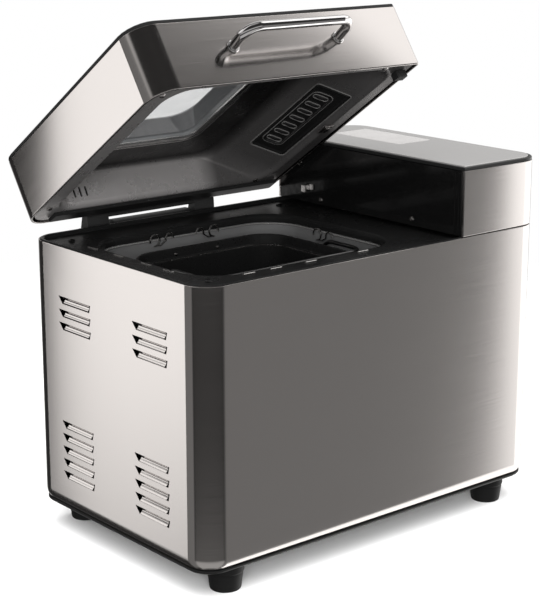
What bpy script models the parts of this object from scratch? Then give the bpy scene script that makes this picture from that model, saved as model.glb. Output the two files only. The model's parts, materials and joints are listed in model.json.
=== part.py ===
"""Bread machine with a lift-out pan, a hinged lid and an automatic ingredient dispenser.

Everything is laid out in machine coordinates: X to the right, Y to the back, Z up from the
table, measured from the middle of the body's footprint. The lid is modelled shut and is then
turned open about its hinge. Metres throughout.
"""

import math

import bmesh
import bpy
from mathutils import Matrix, Vector

# ---------------------------------------------------------------- driving dimensions, in metres

BODY_WIDTH = 0.370
BODY_DEPTH = 0.236
BODY_CORNER = 0.022
WRAP_HEIGHT = 0.225
SHEET = 0.001
BOTTOM_ROLL = 0.0022
BOTTOM_ROLL_HEIGHT = 0.0045

FOOT_HEIGHT = 0.022
FOOT_RADIUS = 0.015
FOOT_TIP_RADIUS = 0.0125
FOOT_INSET_X = 0.036
FOOT_INSET_Y = 0.0205
TRAY_EDGE = 0.0035
TRAY_FLOOR = 0.003
TRAY_WALL_HEIGHT = 0.020

HEAD_WIDTH = 0.0965
HEAD_HEIGHT = 0.056
HEAD_BAND = 0.003
HEAD_RETURN = 0.0022
PANEL_THICKNESS = 0.002
PANEL_MARGIN = 0.003
SIDE_PANEL_THICKNESS = 0.003

LID_SIDE_GAP = 0.004
LID_SEAT_GAP = 0.001
LID_WALL_HEIGHT = 0.0545
LID_CAP_HEIGHT = 0.004
LID_RIGHT_CORNER = 0.003
LID_OPEN_DEG = 34.4
HINGE_BEHIND = 0.0144
HINGE_BELOW = 0.0105
HINGE_SPREAD = 0.116
HINGE_ARM_WIDTH = 0.022
HINGE_EAR = 0.004
HINGE_KNUCKLE_RADIUS = 0.007
HINGE_PIN_RADIUS = 0.0025
HINGE_PLATE_HEIGHT = 0.022
HINGE_COVER_RADIUS = 0.011
HINGE_BAR_RISE = 0.0095
HINGE_BAR_DEPTH = 0.0032

LAND_LEFT = 0.030
LAND_RIGHT = 0.0385
LAND_FRONT = 0.033
LAND_BACK = 0.038
OPENING_CORNER = 0.036
LAND_DROP = 0.0025
DECK_SKIN = 0.003

CHAMBER_SHEET = 0.0009
PAN_GAP_X = 0.023
PAN_GAP_Y = 0.022
PAN_CORNER = 0.028
PAN_DROP = 0.014
PAN_DEPTH = 0.135
PAN_WALL = 0.0015
PAN_RIM = 0.003
PAN_TAPER = 0.006
PAN_FOOT_HEIGHT = 0.016
PAN_FOOT_RADIUS = 0.034
BAIL_REACH = 0.058
BAIL_WIRE = 0.0018
PIVOT_DROP = 0.008

SHAFT_RADIUS = 0.004
DRIVE_PULLEY_RADIUS = 0.045
MOTOR_PULLEY_RADIUS = 0.009
BELT_THICKNESS = 0.0018
BELT_HEIGHT = 0.006
BELT_LEVEL = 0.042
MOTOR_RADIUS = 0.031
MOTOR_LENGTH = 0.070
MOTOR_INSET = 0.060

LIP_LEFT = 0.022
LIP_RIGHT = 0.0205
LIP_FRONT = 0.010
LIP_BACK = 0.023
LIP_CORNER = 0.020
LINER_RISE = 0.033
LINER_SHEET = 0.001
LINER_SLOPE_RUN = 0.054
WINDOW_LEFT = 0.042
WINDOW_WIDTH = 0.106
WINDOW_DEPTH = 0.107
WINDOW_OUTER_MARGIN = 0.012
GLASS = 0.003

DISPENSER_LENGTH = 0.109
DISPENSER_INNER = 0.030
DISPENSER_OUTER = 0.062
HOPPER_WALL = 0.0015

HANDLE_SPAN = 0.108
HANDLE_RADIUS = 0.004
HANDLE_REACH = 0.025
HANDLE_LEVEL = 0.030
HANDLE_RISE = 0.003
HANDLE_BEND = 0.011
HANDLE_OFFSET = 0.003

LOUVRE_LENGTH = 0.046
LOUVRE_HEIGHT = 0.0062
LOUVRE_PITCH = 0.0111
LOUVRE_DEPTH = 0.0022
LOUVRE_END = 0.0045
LOUVRE_SPREAD = 0.103
LOUVRE_TOP_LEVEL = 0.1805
LOUVRE_TOP_COUNT = 3
LOUVRE_LOW_LEVEL = 0.073
LOUVRE_LOW_COUNT = 5

GAP = 0.0003
RUNNING_GAP = 0.0006
ARC = 6

# ---------------------------------------------------------------- places worked out from them

LEFT, RIGHT = -BODY_WIDTH / 2, BODY_WIDTH / 2
FRONT, BACK = -BODY_DEPTH / 2, BODY_DEPTH / 2
WRAP_BOTTOM = FOOT_HEIGHT + TRAY_EDGE
DECK = WRAP_BOTTOM + WRAP_HEIGHT
TRAY_TOP = FOOT_HEIGHT + TRAY_FLOOR + TRAY_WALL_HEIGHT
FLOOR = FOOT_HEIGHT + TRAY_FLOOR
HEAD_LEFT = RIGHT - HEAD_WIDTH
HEAD_TOP = DECK + HEAD_HEIGHT
LID_RIGHT = HEAD_LEFT - LID_SIDE_GAP
LID_MIDDLE = (LEFT + LID_RIGHT) / 2
LID_BOTTOM = DECK + LID_SEAT_GAP
LID_TOP = LID_BOTTOM + LID_WALL_HEIGHT
HINGE_Y, HINGE_Z = BACK + HINGE_BEHIND, DECK - HINGE_BELOW

# A flat outline is (left, right, front, back, corner radii from back right, anticlockwise).
BODY_BOX = (LEFT, RIGHT, FRONT, BACK, (BODY_CORNER,) * 4)
HEAD_BOX = (HEAD_LEFT, RIGHT, FRONT, BACK, (BODY_CORNER, 0.0006, 0.0006, BODY_CORNER))
LID_BOX = (
    LEFT,
    LID_RIGHT,
    FRONT,
    BACK,
    (LID_RIGHT_CORNER, BODY_CORNER, BODY_CORNER, LID_RIGHT_CORNER),
)
OPENING = (
    LEFT + LAND_LEFT,
    HEAD_LEFT - LAND_RIGHT,
    FRONT + LAND_FRONT,
    BACK - LAND_BACK,
    (OPENING_CORNER,) * 4,
)
CHAMBER_TOP = DECK - LAND_DROP - 0.0075
PAN_X, PAN_Y = (OPENING[0] + OPENING[1]) / 2, (OPENING[2] + OPENING[3]) / 2
PAN_BOX = (
    OPENING[0] + PAN_GAP_X,
    OPENING[1] - PAN_GAP_X,
    OPENING[2] + PAN_GAP_Y,
    OPENING[3] - PAN_GAP_Y,
    (PAN_CORNER,) * 4,
)
PAN_TOP = DECK - PAN_DROP
PAN_BOTTOM = PAN_TOP - PAN_DEPTH
PAN_FOOT = PAN_BOTTOM - PAN_FOOT_HEIGHT
SOCKET_PLATE = 0.003
CHAMBER_FLOOR = PAN_FOOT - SOCKET_PLATE - 2 * GAP
BAIL_Z = PAN_TOP - PIVOT_DROP
MOTOR_X = RIGHT - MOTOR_INSET
MOTOR_BASE = BELT_LEVEL + BELT_HEIGHT + 0.012
LIP = (
    LEFT + LIP_LEFT,
    LID_RIGHT - LIP_RIGHT,
    FRONT + LIP_FRONT,
    BACK - LIP_BACK,
    (LIP_CORNER,) * 4,
)
FLANGE = LID_BOTTOM + SHEET + GAP
CEILING = LID_BOTTOM + LINER_RISE
WINDOW_Y = (LIP[2] + LIP[3]) / 2
WINDOW = (
    LEFT + WINDOW_LEFT,
    LEFT + WINDOW_LEFT + WINDOW_WIDTH,
    WINDOW_Y - WINDOW_DEPTH / 2,
    WINDOW_Y + WINDOW_DEPTH / 2,
    (0.010,) * 4,
)

# The machine stands with the middle of its box, open lid included, over the origin.
OPEN = math.radians(LID_OPEN_DEG)
REAR_MOST = HINGE_Y + (BACK - HINGE_Y) * math.cos(OPEN) + (
    LID_TOP + LID_CAP_HEIGHT - HINGE_Z
) * math.sin(OPEN)
MACHINE_Y = -(FRONT + REAR_MOST) / 2


# ---------------------------------------------------------------- tools of the modelling

for old in list(bpy.data.objects):
    bpy.data.objects.remove(old)


def material(name, colour, roughness, metallic=0.0):
    made = bpy.data.materials.new(name)
    made.use_nodes = True
    shader = made.node_tree.nodes["Principled BSDF"]
    shader.inputs["Base Color"].default_value = (*colour, 1.0)
    shader.inputs["Roughness"].default_value = roughness
    shader.inputs["Metallic"].default_value = metallic
    return made


STEEL = material("brushed_steel", (0.60, 0.58, 0.56), 0.32, 1.0)
CHROME = material("chrome", (0.80, 0.80, 0.82), 0.08, 1.0)
GALVANISED = material("coated_sheet", (0.22, 0.22, 0.23), 0.38, 0.9)
BLACK = material("black_moulding", (0.015, 0.015, 0.016), 0.35)
GLOSS_BLACK = material("gloss_black", (0.010, 0.010, 0.011), 0.12)
RUBBER = material("rubber", (0.02, 0.02, 0.02), 0.7)
PANEL_GREY = material("panel_grey", (0.52, 0.51, 0.50), 0.18, 0.3)
NON_STICK = material("non_stick", (0.03, 0.03, 0.032), 0.45)
ALUMINIUM = material("aluminium", (0.70, 0.70, 0.72), 0.35, 1.0)
GLAZING = material("glazing", (0.35, 0.37, 0.38), 0.05)
COPPER_BOARD = material("circuit_board", (0.05, 0.20, 0.09), 0.5)


def empty(name, place, parent=None, turn=None):
    """An empty at a machine-coordinate place, turned or not."""
    made = bpy.data.objects.new(name, None)
    bpy.context.scene.collection.objects.link(made)
    made["place"] = place
    if parent:
        made.parent = parent
        made.location = Vector(place) - Vector(parent["place"])
    else:
        made.location = place
    if turn:
        made.rotation_euler = turn
    return made


def place(obj, parent, origin):
    """Puts an object whose shape is in machine coordinates under its parent, with its origin there."""
    origin = Vector(origin)
    if obj.type == "CURVE":
        for spline in obj.data.splines:
            for point in spline.points:
                point.co = (*(Vector(point.co[:3]) - origin), 1.0)
    else:
        obj.data.transform(Matrix.Translation(-origin))
    obj.parent = parent
    obj.location = origin - Vector(parent["place"])


def solid(name, bm, finish, parent, origin=None, sharp=35.0):
    bmesh.ops.recalc_face_normals(bm, faces=bm.faces[:])
    mesh = bpy.data.meshes.new(name)
    bm.to_mesh(mesh)
    bm.free()
    mesh.shade_smooth()
    mesh.set_sharp_from_angle(angle=math.radians(sharp))
    mesh.materials.append(finish)
    obj = bpy.data.objects.new(name, mesh)
    bpy.context.scene.collection.objects.link(obj)
    place(obj, parent, origin or parent["place"])
    return obj


def skin(rings, loop=False):
    """A closed skin through rings of equally many points, capped at its ends or joined in a loop."""
    bm = bmesh.new()
    made = [[bm.verts.new(point) for point in ring] for ring in rings]
    count = len(made[0])
    following = made[1:] + made[:1] if loop else made[1:]
    for low, high in zip(made, following):
        for i in range(count):
            j = (i + 1) % count
            bm.faces.new((low[i], low[j], high[j], high[i]))
    if not loop:
        bm.faces.new(made[0])
        bm.faces.new(made[-1])
    return bm


def inset(box, by):
    """A flat outline drawn in on all sides."""
    left, right, front, back, radii = box
    smaller = tuple(max(r - by, 0.0004) for r in radii)
    return (left + by, right - by, front + by, back - by, smaller)


def outline(box, z, steps=ARC):
    """The outline's points at one level, with each corner as an arc."""
    left, right, front, back, radii = box
    corners = ((right, back), (left, back), (left, front), (right, front))
    points = []
    for k, ((x, y), r) in enumerate(zip(corners, radii)):
        cx = x - r if x == right else x + r
        cy = y - r if y == back else y + r
        for i in range(steps + 1):
            turn = math.pi / 2 * (k + i / steps)
            points.append((cx + r * math.cos(turn), cy + r * math.sin(turn), z))
    return points


def circle(x, y, radius, z, count=24):
    turns = (2 * math.pi * i / count for i in range(count))
    return [(x + radius * math.cos(t), y + radius * math.sin(t), z) for t in turns]


def turned(profile, x, y, count=24, loop=False):
    """A shape turned about a vertical line from (radius, level) pairs."""
    return skin([circle(x, y, r, z, count) for r, z in profile], loop)


def turned_along(profile, start, axis, count=20, loop=False):
    """A shape turned about any line from (radius, distance) pairs."""
    bm = turned(profile, 0.0, 0.0, count, loop)
    turn = Vector((0, 0, 1)).rotation_difference(Vector(axis)).to_matrix().to_4x4()
    bm.transform(Matrix.Translation(start) @ turn)
    return bm


def block(x0, x1, y0, y1, z0, z1):
    corners = ((x0, y0), (x1, y0), (x1, y1), (x0, y1))
    return skin([[(x, y, z) for x, y in corners] for z in (z0, z1)])


def drawn(profile, x0, x1):
    """A (y, z) profile drawn out along X."""
    return skin([[(x, y, z) for y, z in profile] for x in (x0, x1)])


def drawn_along_y(profile, y0, y1):
    """An (x, z) profile drawn out along Y."""
    return skin([[(x, y, z) for x, z in profile] for y in (y0, y1)])


def gathered(pieces):
    """Several closed skins in one mesh, for a cutter or an addition."""
    whole = bmesh.new()
    for piece in pieces:
        bmesh.ops.recalc_face_normals(piece, faces=piece.faces[:])
        kept = bpy.data.meshes.new("piece")
        piece.to_mesh(kept)
        piece.free()
        whole.from_mesh(kept)
        bpy.data.meshes.remove(kept)
    return whole


def combine(target, operation, name, bm, parent):
    """A Boolean of the target with a hidden helper."""
    helper = solid(name, bm, BLACK, parent)
    helper.hide_render = True
    helper.display_type = "WIRE"
    step = target.modifiers.new(name, "BOOLEAN")
    step.operation = operation
    step.object = helper
    return helper


def wire(name, points, radius, finish, parent, origin=None, closed=False, sides=2):
    """Round bar bent through the points."""
    curve = bpy.data.curves.new(name, "CURVE")
    curve.dimensions = "3D"
    curve.bevel_depth = radius
    curve.bevel_resolution = sides
    curve.use_fill_caps = not closed
    spline = curve.splines.new("POLY")
    spline.points.add(len(points) - 1)
    for point, (x, y, z) in zip(spline.points, points):
        point.co = (x, y, z, 1.0)
    spline.use_cyclic_u = closed
    curve.materials.append(finish)
    obj = bpy.data.objects.new(name, curve)
    bpy.context.scene.collection.objects.link(obj)
    place(obj, parent, origin or parent["place"])
    return obj


def bent(corners, radius, steps=5):
    """The corner points' path with each inner corner rounded to the bend radius."""
    path = [Vector(corners[0])]
    for before, corner, after in zip(corners, corners[1:], corners[2:]):
        corner = Vector(corner)
        back = (Vector(before) - corner).normalized()
        ahead = (Vector(after) - corner).normalized()
        half = back.angle(ahead) / 2
        reach = radius / math.tan(half)
        centre = corner + (back + ahead).normalized() * radius / math.sin(half)
        start = corner + back * reach - centre
        end = corner + ahead * reach - centre
        sweep = start.angle(end)
        for i in range(steps + 1):
            t = i / steps
            mix = start * math.sin((1 - t) * sweep) + end * math.sin(t * sweep)
            path.append(centre + mix / math.sin(sweep))
    path.append(Vector(corners[-1]))
    return [tuple(point) for point in path]


machine = empty("machine", (0.0, 0.0, 0.0))
machine.location = (0.0, MACHINE_Y, 0.0)
lid = empty("lid_hinge_axis", (LID_MIDDLE, HINGE_Y, HINGE_Z), machine, (-OPEN, 0.0, 0.0))


# ---------------------------------------------------------------- base, feet and steel wrap


def make_base():
    fit = SHEET + BOTTOM_ROLL + GAP
    rings = (
        (0.0030, FOOT_HEIGHT),
        (0.0010, FOOT_HEIGHT + 0.0015),
        (0.0010, WRAP_BOTTOM - GAP),
        (fit, WRAP_BOTTOM - GAP),
        (fit, TRAY_TOP),
        (fit + 0.002, TRAY_TOP),
        (fit + 0.002, FLOOR),
    )
    tray = skin([outline(inset(BODY_BOX, by), z) for by, z in rings])
    solid("base_tray", tray, BLACK, machine)
    profile = (
        (FOOT_TIP_RADIUS - 0.001, 0.0),
        (FOOT_TIP_RADIUS, 0.001),
        (FOOT_RADIUS, FOOT_HEIGHT - 0.004),
        (FOOT_RADIUS, FOOT_HEIGHT - GAP),
    )
    feet = (
        ("foot_front_left", LEFT + FOOT_INSET_X, FRONT + FOOT_INSET_Y),
        ("foot_front_right", RIGHT - FOOT_INSET_X, FRONT + FOOT_INSET_Y),
        ("foot_rear_left", LEFT + FOOT_INSET_X, BACK - FOOT_INSET_Y),
        ("foot_rear_right", RIGHT - FOOT_INSET_X, BACK - FOOT_INSET_Y),
    )
    for name, x, y in feet:
        solid(name, turned(profile, x, y), RUBBER, machine, (x, y, FOOT_HEIGHT))


def louvre_places(groups):
    """(y, z) of each louvre's middle, for the (top level, count) groups, in two columns."""
    columns = (-LOUVRE_SPREAD / 2, LOUVRE_SPREAD / 2)
    return [
        (y, WRAP_BOTTOM + level - k * LOUVRE_PITCH)
        for level, count in groups
        for y in columns
        for k in range(count)
    ]


def make_wrap():
    """The wrap is one steel band; each louvre is a strip pressed in and open at its two ends."""
    profile = (
        (BOTTOM_ROLL, WRAP_BOTTOM),
        (BOTTOM_ROLL * 0.3, WRAP_BOTTOM + BOTTOM_ROLL_HEIGHT * 0.35),
        (0.0, WRAP_BOTTOM + BOTTOM_ROLL_HEIGHT),
        (0.0, DECK),
    )
    outside = [outline(inset(BODY_BOX, by), z) for by, z in profile]
    inside = [outline(inset(BODY_BOX, by + SHEET), z) for by, z in reversed(profile)]
    wrap = solid("body_wrap", skin(outside + inside, loop=True), STEEL, machine)
    upper, lower = (LOUVRE_TOP_LEVEL, LOUVRE_TOP_COUNT), (LOUVRE_LOW_LEVEL, LOUVRE_LOW_COUNT)
    half, length = LOUVRE_HEIGHT / 2, LOUVRE_LENGTH / 2
    holes, strips = [], []
    for wall, inward, groups in ((LEFT, 1, (upper, lower)), (RIGHT, -1, (lower,))):
        for y, z in louvre_places(groups):
            x0, x1 = sorted((wall - inward * 0.002, wall + inward * 0.004))
            holes.append(block(x0, x1, y - length, y + length, z - half, z + half))
            depth = LOUVRE_DEPTH
            web = SHEET * 0.8
            channel = [
                (0.0002, half + 0.001),
                (0.0002, half - 0.0002),
                (depth, half - 0.0018),
                (depth, -half + 0.0018),
                (0.0002, -half + 0.0002),
                (0.0002, -half - 0.001),
                (0.0002 + web, -half - 0.001),
                (depth + web, -half + 0.0010),
                (depth + web, half - 0.0010),
                (0.0002 + web, half + 0.001),
            ]
            section = [(wall + inward * dx, z + dz) for dx, dz in channel]
            strips.append(drawn_along_y(section, y - length + LOUVRE_END, y + length - LOUVRE_END))
    combine(wrap, "DIFFERENCE", "louvre_cutter", gathered(holes), machine)
    combine(wrap, "UNION", "louvre_strips", gathered(strips), machine)
    half_x, half_z = INLET_HALF_WIDTH, INLET_HALF_HEIGHT
    x0, x1, z0, z1 = INLET_X - half_x, INLET_X + half_x, INLET_Z - half_z, INLET_Z + half_z
    combine(wrap, "DIFFERENCE", "inlet_cutter", block(x0, x1, BACK - 0.01, BACK + 0.01, z0, z1), machine)


INLET_X, INLET_Z = RIGHT - 0.050, WRAP_BOTTOM + 0.030
INLET_HALF_WIDTH, INLET_HALF_HEIGHT = 0.0150, 0.010
INLET_DEPTH, INLET_FLANGE, INLET_WALL = 0.016, 0.004, 0.002


def make_inlet():
    """Mains inlet at the lower right of the back: a flanged socket with a recessed mouth."""
    end = BACK - SHEET - INLET_DEPTH

    def prism(grown, y0, y1):
        half_x, half_z = INLET_HALF_WIDTH + grown, INLET_HALF_HEIGHT + grown
        return block(INLET_X - half_x, INLET_X + half_x, y0, y1, INLET_Z - half_z, INLET_Z + half_z)

    inlet = solid("power_inlet", prism(INLET_FLANGE, BACK + GAP, BACK + 0.0025), BLACK, machine)
    combine(inlet, "UNION", "inlet_shell", prism(-GAP, end, BACK + 0.001), machine)
    mouth = prism(-GAP - INLET_WALL, end + INLET_WALL, BACK + 0.01)
    combine(inlet, "DIFFERENCE", "inlet_mouth", mouth, machine)


# ---------------------------------------------------------------- deck, chamber and its fittings

PEG_X, PEG_Y = LID_RIGHT - 0.014, FRONT + 0.014
PEG_WIDTH, PEG_DEPTH, PEG_DROP = 0.011, 0.008, 0.0065


def make_deck():
    """Black moulded top frame: a raised rim inside the steel, a sunk land and the chamber's opening."""
    fit = SHEET + GAP
    land = DECK - LAND_DROP
    rings = [
        outline(inset(BODY_BOX, fit), DECK - 0.012),
        outline(inset(BODY_BOX, fit), DECK + 0.0002),
        outline(inset(BODY_BOX, fit + 0.0007), DECK + 0.0007),
        outline(inset(BODY_BOX, fit + 0.0030), DECK + 0.0007),
        outline(inset(BODY_BOX, fit + 0.0045), land),
        outline(inset(OPENING, -0.0020), land - 0.0004),
        outline(OPENING, land - 0.0018),
        outline(OPENING, CHAMBER_TOP + GAP),
        outline(inset(OPENING, -0.0020), CHAMBER_TOP + GAP),
        outline(inset(OPENING, -0.0020), land - DECK_SKIN),
        outline(inset(BODY_BOX, fit + 0.0060), land - DECK_SKIN),
        outline(inset(BODY_BOX, fit + 0.0020), DECK - 0.012),
    ]
    deck = solid("deck", skin(rings, loop=True), BLACK, machine)
    slots = []
    edge = 0.0050
    for y in (0.058, 0.021, -0.016):
        x = OPENING[0] - edge
        slots.append(block(x - 0.001, x + 0.001, y - 0.007, y + 0.007, land - 0.001, land + 0.01))
    for x in (-0.119, -0.092, -0.056, 0.000):
        y = OPENING[2] - edge
        slots.append(block(x - 0.005, x + 0.005, y - 0.001, y + 0.001, land - 0.001, land + 0.01))
    slots.append(
        block(
            PEG_X - PEG_WIDTH / 2 - 0.0015,
            PEG_X + PEG_WIDTH / 2 + 0.0015,
            PEG_Y - PEG_DEPTH / 2 - 0.0015,
            PEG_Y + PEG_DEPTH / 2 + 0.0015,
            land - 0.02,
            land + 0.01,
        )
    )
    combine(deck, "DIFFERENCE", "deck_slots", gathered(slots), machine)


ELEMENT_RADIUS = 0.00325
ELEMENT_LEVEL = CHAMBER_FLOOR + 0.014
ELEMENT_GAP = 0.010
TERMINAL_Y = 0.013
SENSOR_X, SENSOR_Z = PAN_X + 0.030, CHAMBER_FLOOR + 0.070
SENSOR_RADIUS = 0.003


def make_chamber():
    """Pressed sheet-metal oven chamber, hung from the deck by its flange."""
    wall = CHAMBER_SHEET
    rings = [
        outline(inset(OPENING, 0.010), CHAMBER_FLOOR - wall),
        outline(inset(OPENING, 0.002), CHAMBER_FLOOR - wall + 0.003),
        outline(inset(OPENING, -wall), CHAMBER_FLOOR + 0.010),
        outline(inset(OPENING, -wall), CHAMBER_TOP - wall),
        outline(inset(OPENING, -0.006), CHAMBER_TOP - wall),
        outline(inset(OPENING, -0.006), CHAMBER_TOP),
        outline(OPENING, CHAMBER_TOP),
        outline(OPENING, CHAMBER_FLOOR + 0.010),
        outline(inset(OPENING, 0.002 + wall), CHAMBER_FLOOR + 0.003),
        outline(inset(OPENING, 0.010), CHAMBER_FLOOR),
    ]
    chamber = solid("oven_chamber", skin(rings), GALVANISED, machine)
    side = OPENING[1]
    hole = SHAFT_RADIUS + 0.006
    holes = [turned([(hole, CHAMBER_FLOOR - 0.01), (hole, CHAMBER_FLOOR + 0.01)], PAN_X, PAN_Y)]
    for sign in (-1, 1):
        start = (side - 0.006, PAN_Y + sign * TERMINAL_Y, ELEMENT_LEVEL)
        hole = ELEMENT_RADIUS + 0.001
        holes.append(turned_along([(hole, 0.0), (hole, 0.012)], start, (1, 0, 0)))
    start = (SENSOR_X, OPENING[3] - 0.006, SENSOR_Z)
    hole = SENSOR_RADIUS + GAP
    holes.append(turned_along([(hole, 0.0), (hole, 0.012)], start, (0, 1, 0)))
    combine(chamber, "DIFFERENCE", "chamber_holes", gathered(holes), machine)

    left, right, front, back, _ = inset(OPENING, ELEMENT_GAP)
    z, tail = ELEMENT_LEVEL, side + 0.016
    corners = [
        (tail, PAN_Y - TERMINAL_Y, z),
        (right, PAN_Y - TERMINAL_Y, z),
        (right, front, z),
        (left, front, z),
        (left, back, z),
        (right, back, z),
        (right, PAN_Y + TERMINAL_Y, z),
        (tail, PAN_Y + TERMINAL_Y, z),
    ]
    path = bent(corners[:3], 0.009, 3)[:-1]
    path += bent(corners[1:7], OPENING_CORNER - ELEMENT_GAP - 0.004, 5)[1:-1]
    path += bent(corners[5:], 0.009, 3)[1:]
    wire("heating_element", path, ELEMENT_RADIUS, ALUMINIUM, machine)

    probe = [
        (SENSOR_RADIUS, 0.0),
        (SENSOR_RADIUS, 0.018 - GAP),
        (0.008, 0.018 - GAP + CHAMBER_SHEET),
        (0.008, 0.022),
        (0.004, 0.022),
        (0.004, 0.030),
    ]
    start = (SENSOR_X, OPENING[3] - 0.018 + CHAMBER_SHEET + 2 * GAP, SENSOR_Z)
    solid("temperature_sensor", turned_along(probe, start, (0, 1, 0), 12), ALUMINIUM, machine)


CLIP_WIRE = 0.0011
CLIP_RING = 0.0050
CLIP_SPREAD = 0.064
CLIP_LEVEL = PAN_TOP + 0.0035


def clip_path(sign):
    """A torsion clip's wire in its own plane: most of a ring, a short bar and an arch."""
    points = []
    for i in range(13):
        turn = math.radians(-20 + 285 * i / 12)
        points.append((-sign * CLIP_RING * math.cos(turn), CLIP_RING * math.sin(turn)))
    points.append((sign * 0.006, -CLIP_RING * 0.85))
    for i in range(7):
        turn = math.radians(200 - 200 * i / 6)
        points.append((sign * (0.0155 + 0.0042 * math.cos(turn)), 0.0042 * math.sin(turn)))
    return points


def make_clips():
    """Wire clips on the chamber's rear and right walls, which steady the pan."""
    y = OPENING[3] - CLIP_WIRE - 0.0012
    for name, sign in (("pan_clip_left", 1), ("pan_clip_right", -1)):
        x = PAN_X - sign * CLIP_SPREAD / 2
        points = [(x + u, y, CLIP_LEVEL + v) for u, v in clip_path(sign)]
        wire(name, points, CLIP_WIRE, CHROME, machine, sides=1)
    x = OPENING[1] - CLIP_WIRE - 0.0012
    points = [(x, PAN_Y + 0.020 + u, CLIP_LEVEL - 0.003 + v) for u, v in clip_path(-1)]
    wire("pan_clip_side", points, CLIP_WIRE, CHROME, machine, sides=1)


def make_socket():
    """Ring on the chamber's floor that the pan's foot stands in."""
    low = CHAMBER_FLOOR + GAP
    inner = PAN_FOOT_RADIUS + RUNNING_GAP
    profile = [
        (0.016, low),
        (inner + 0.010, low),
        (inner + 0.010, low + 0.002),
        (inner + 0.004, low + SOCKET_PLATE),
        (inner + 0.003, low + SOCKET_PLATE + 0.009),
        (inner, low + SOCKET_PLATE + 0.009),
        (inner, low + SOCKET_PLATE),
        (0.016, low + SOCKET_PLATE),
    ]
    solid("pan_socket", turned(profile, PAN_X, PAN_Y, 32, loop=True), ALUMINIUM, machine)


# ---------------------------------------------------------------- drive train

DOG_LEVEL = PAN_FOOT + 0.001
BORE = SHAFT_RADIUS + RUNNING_GAP / 2


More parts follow.
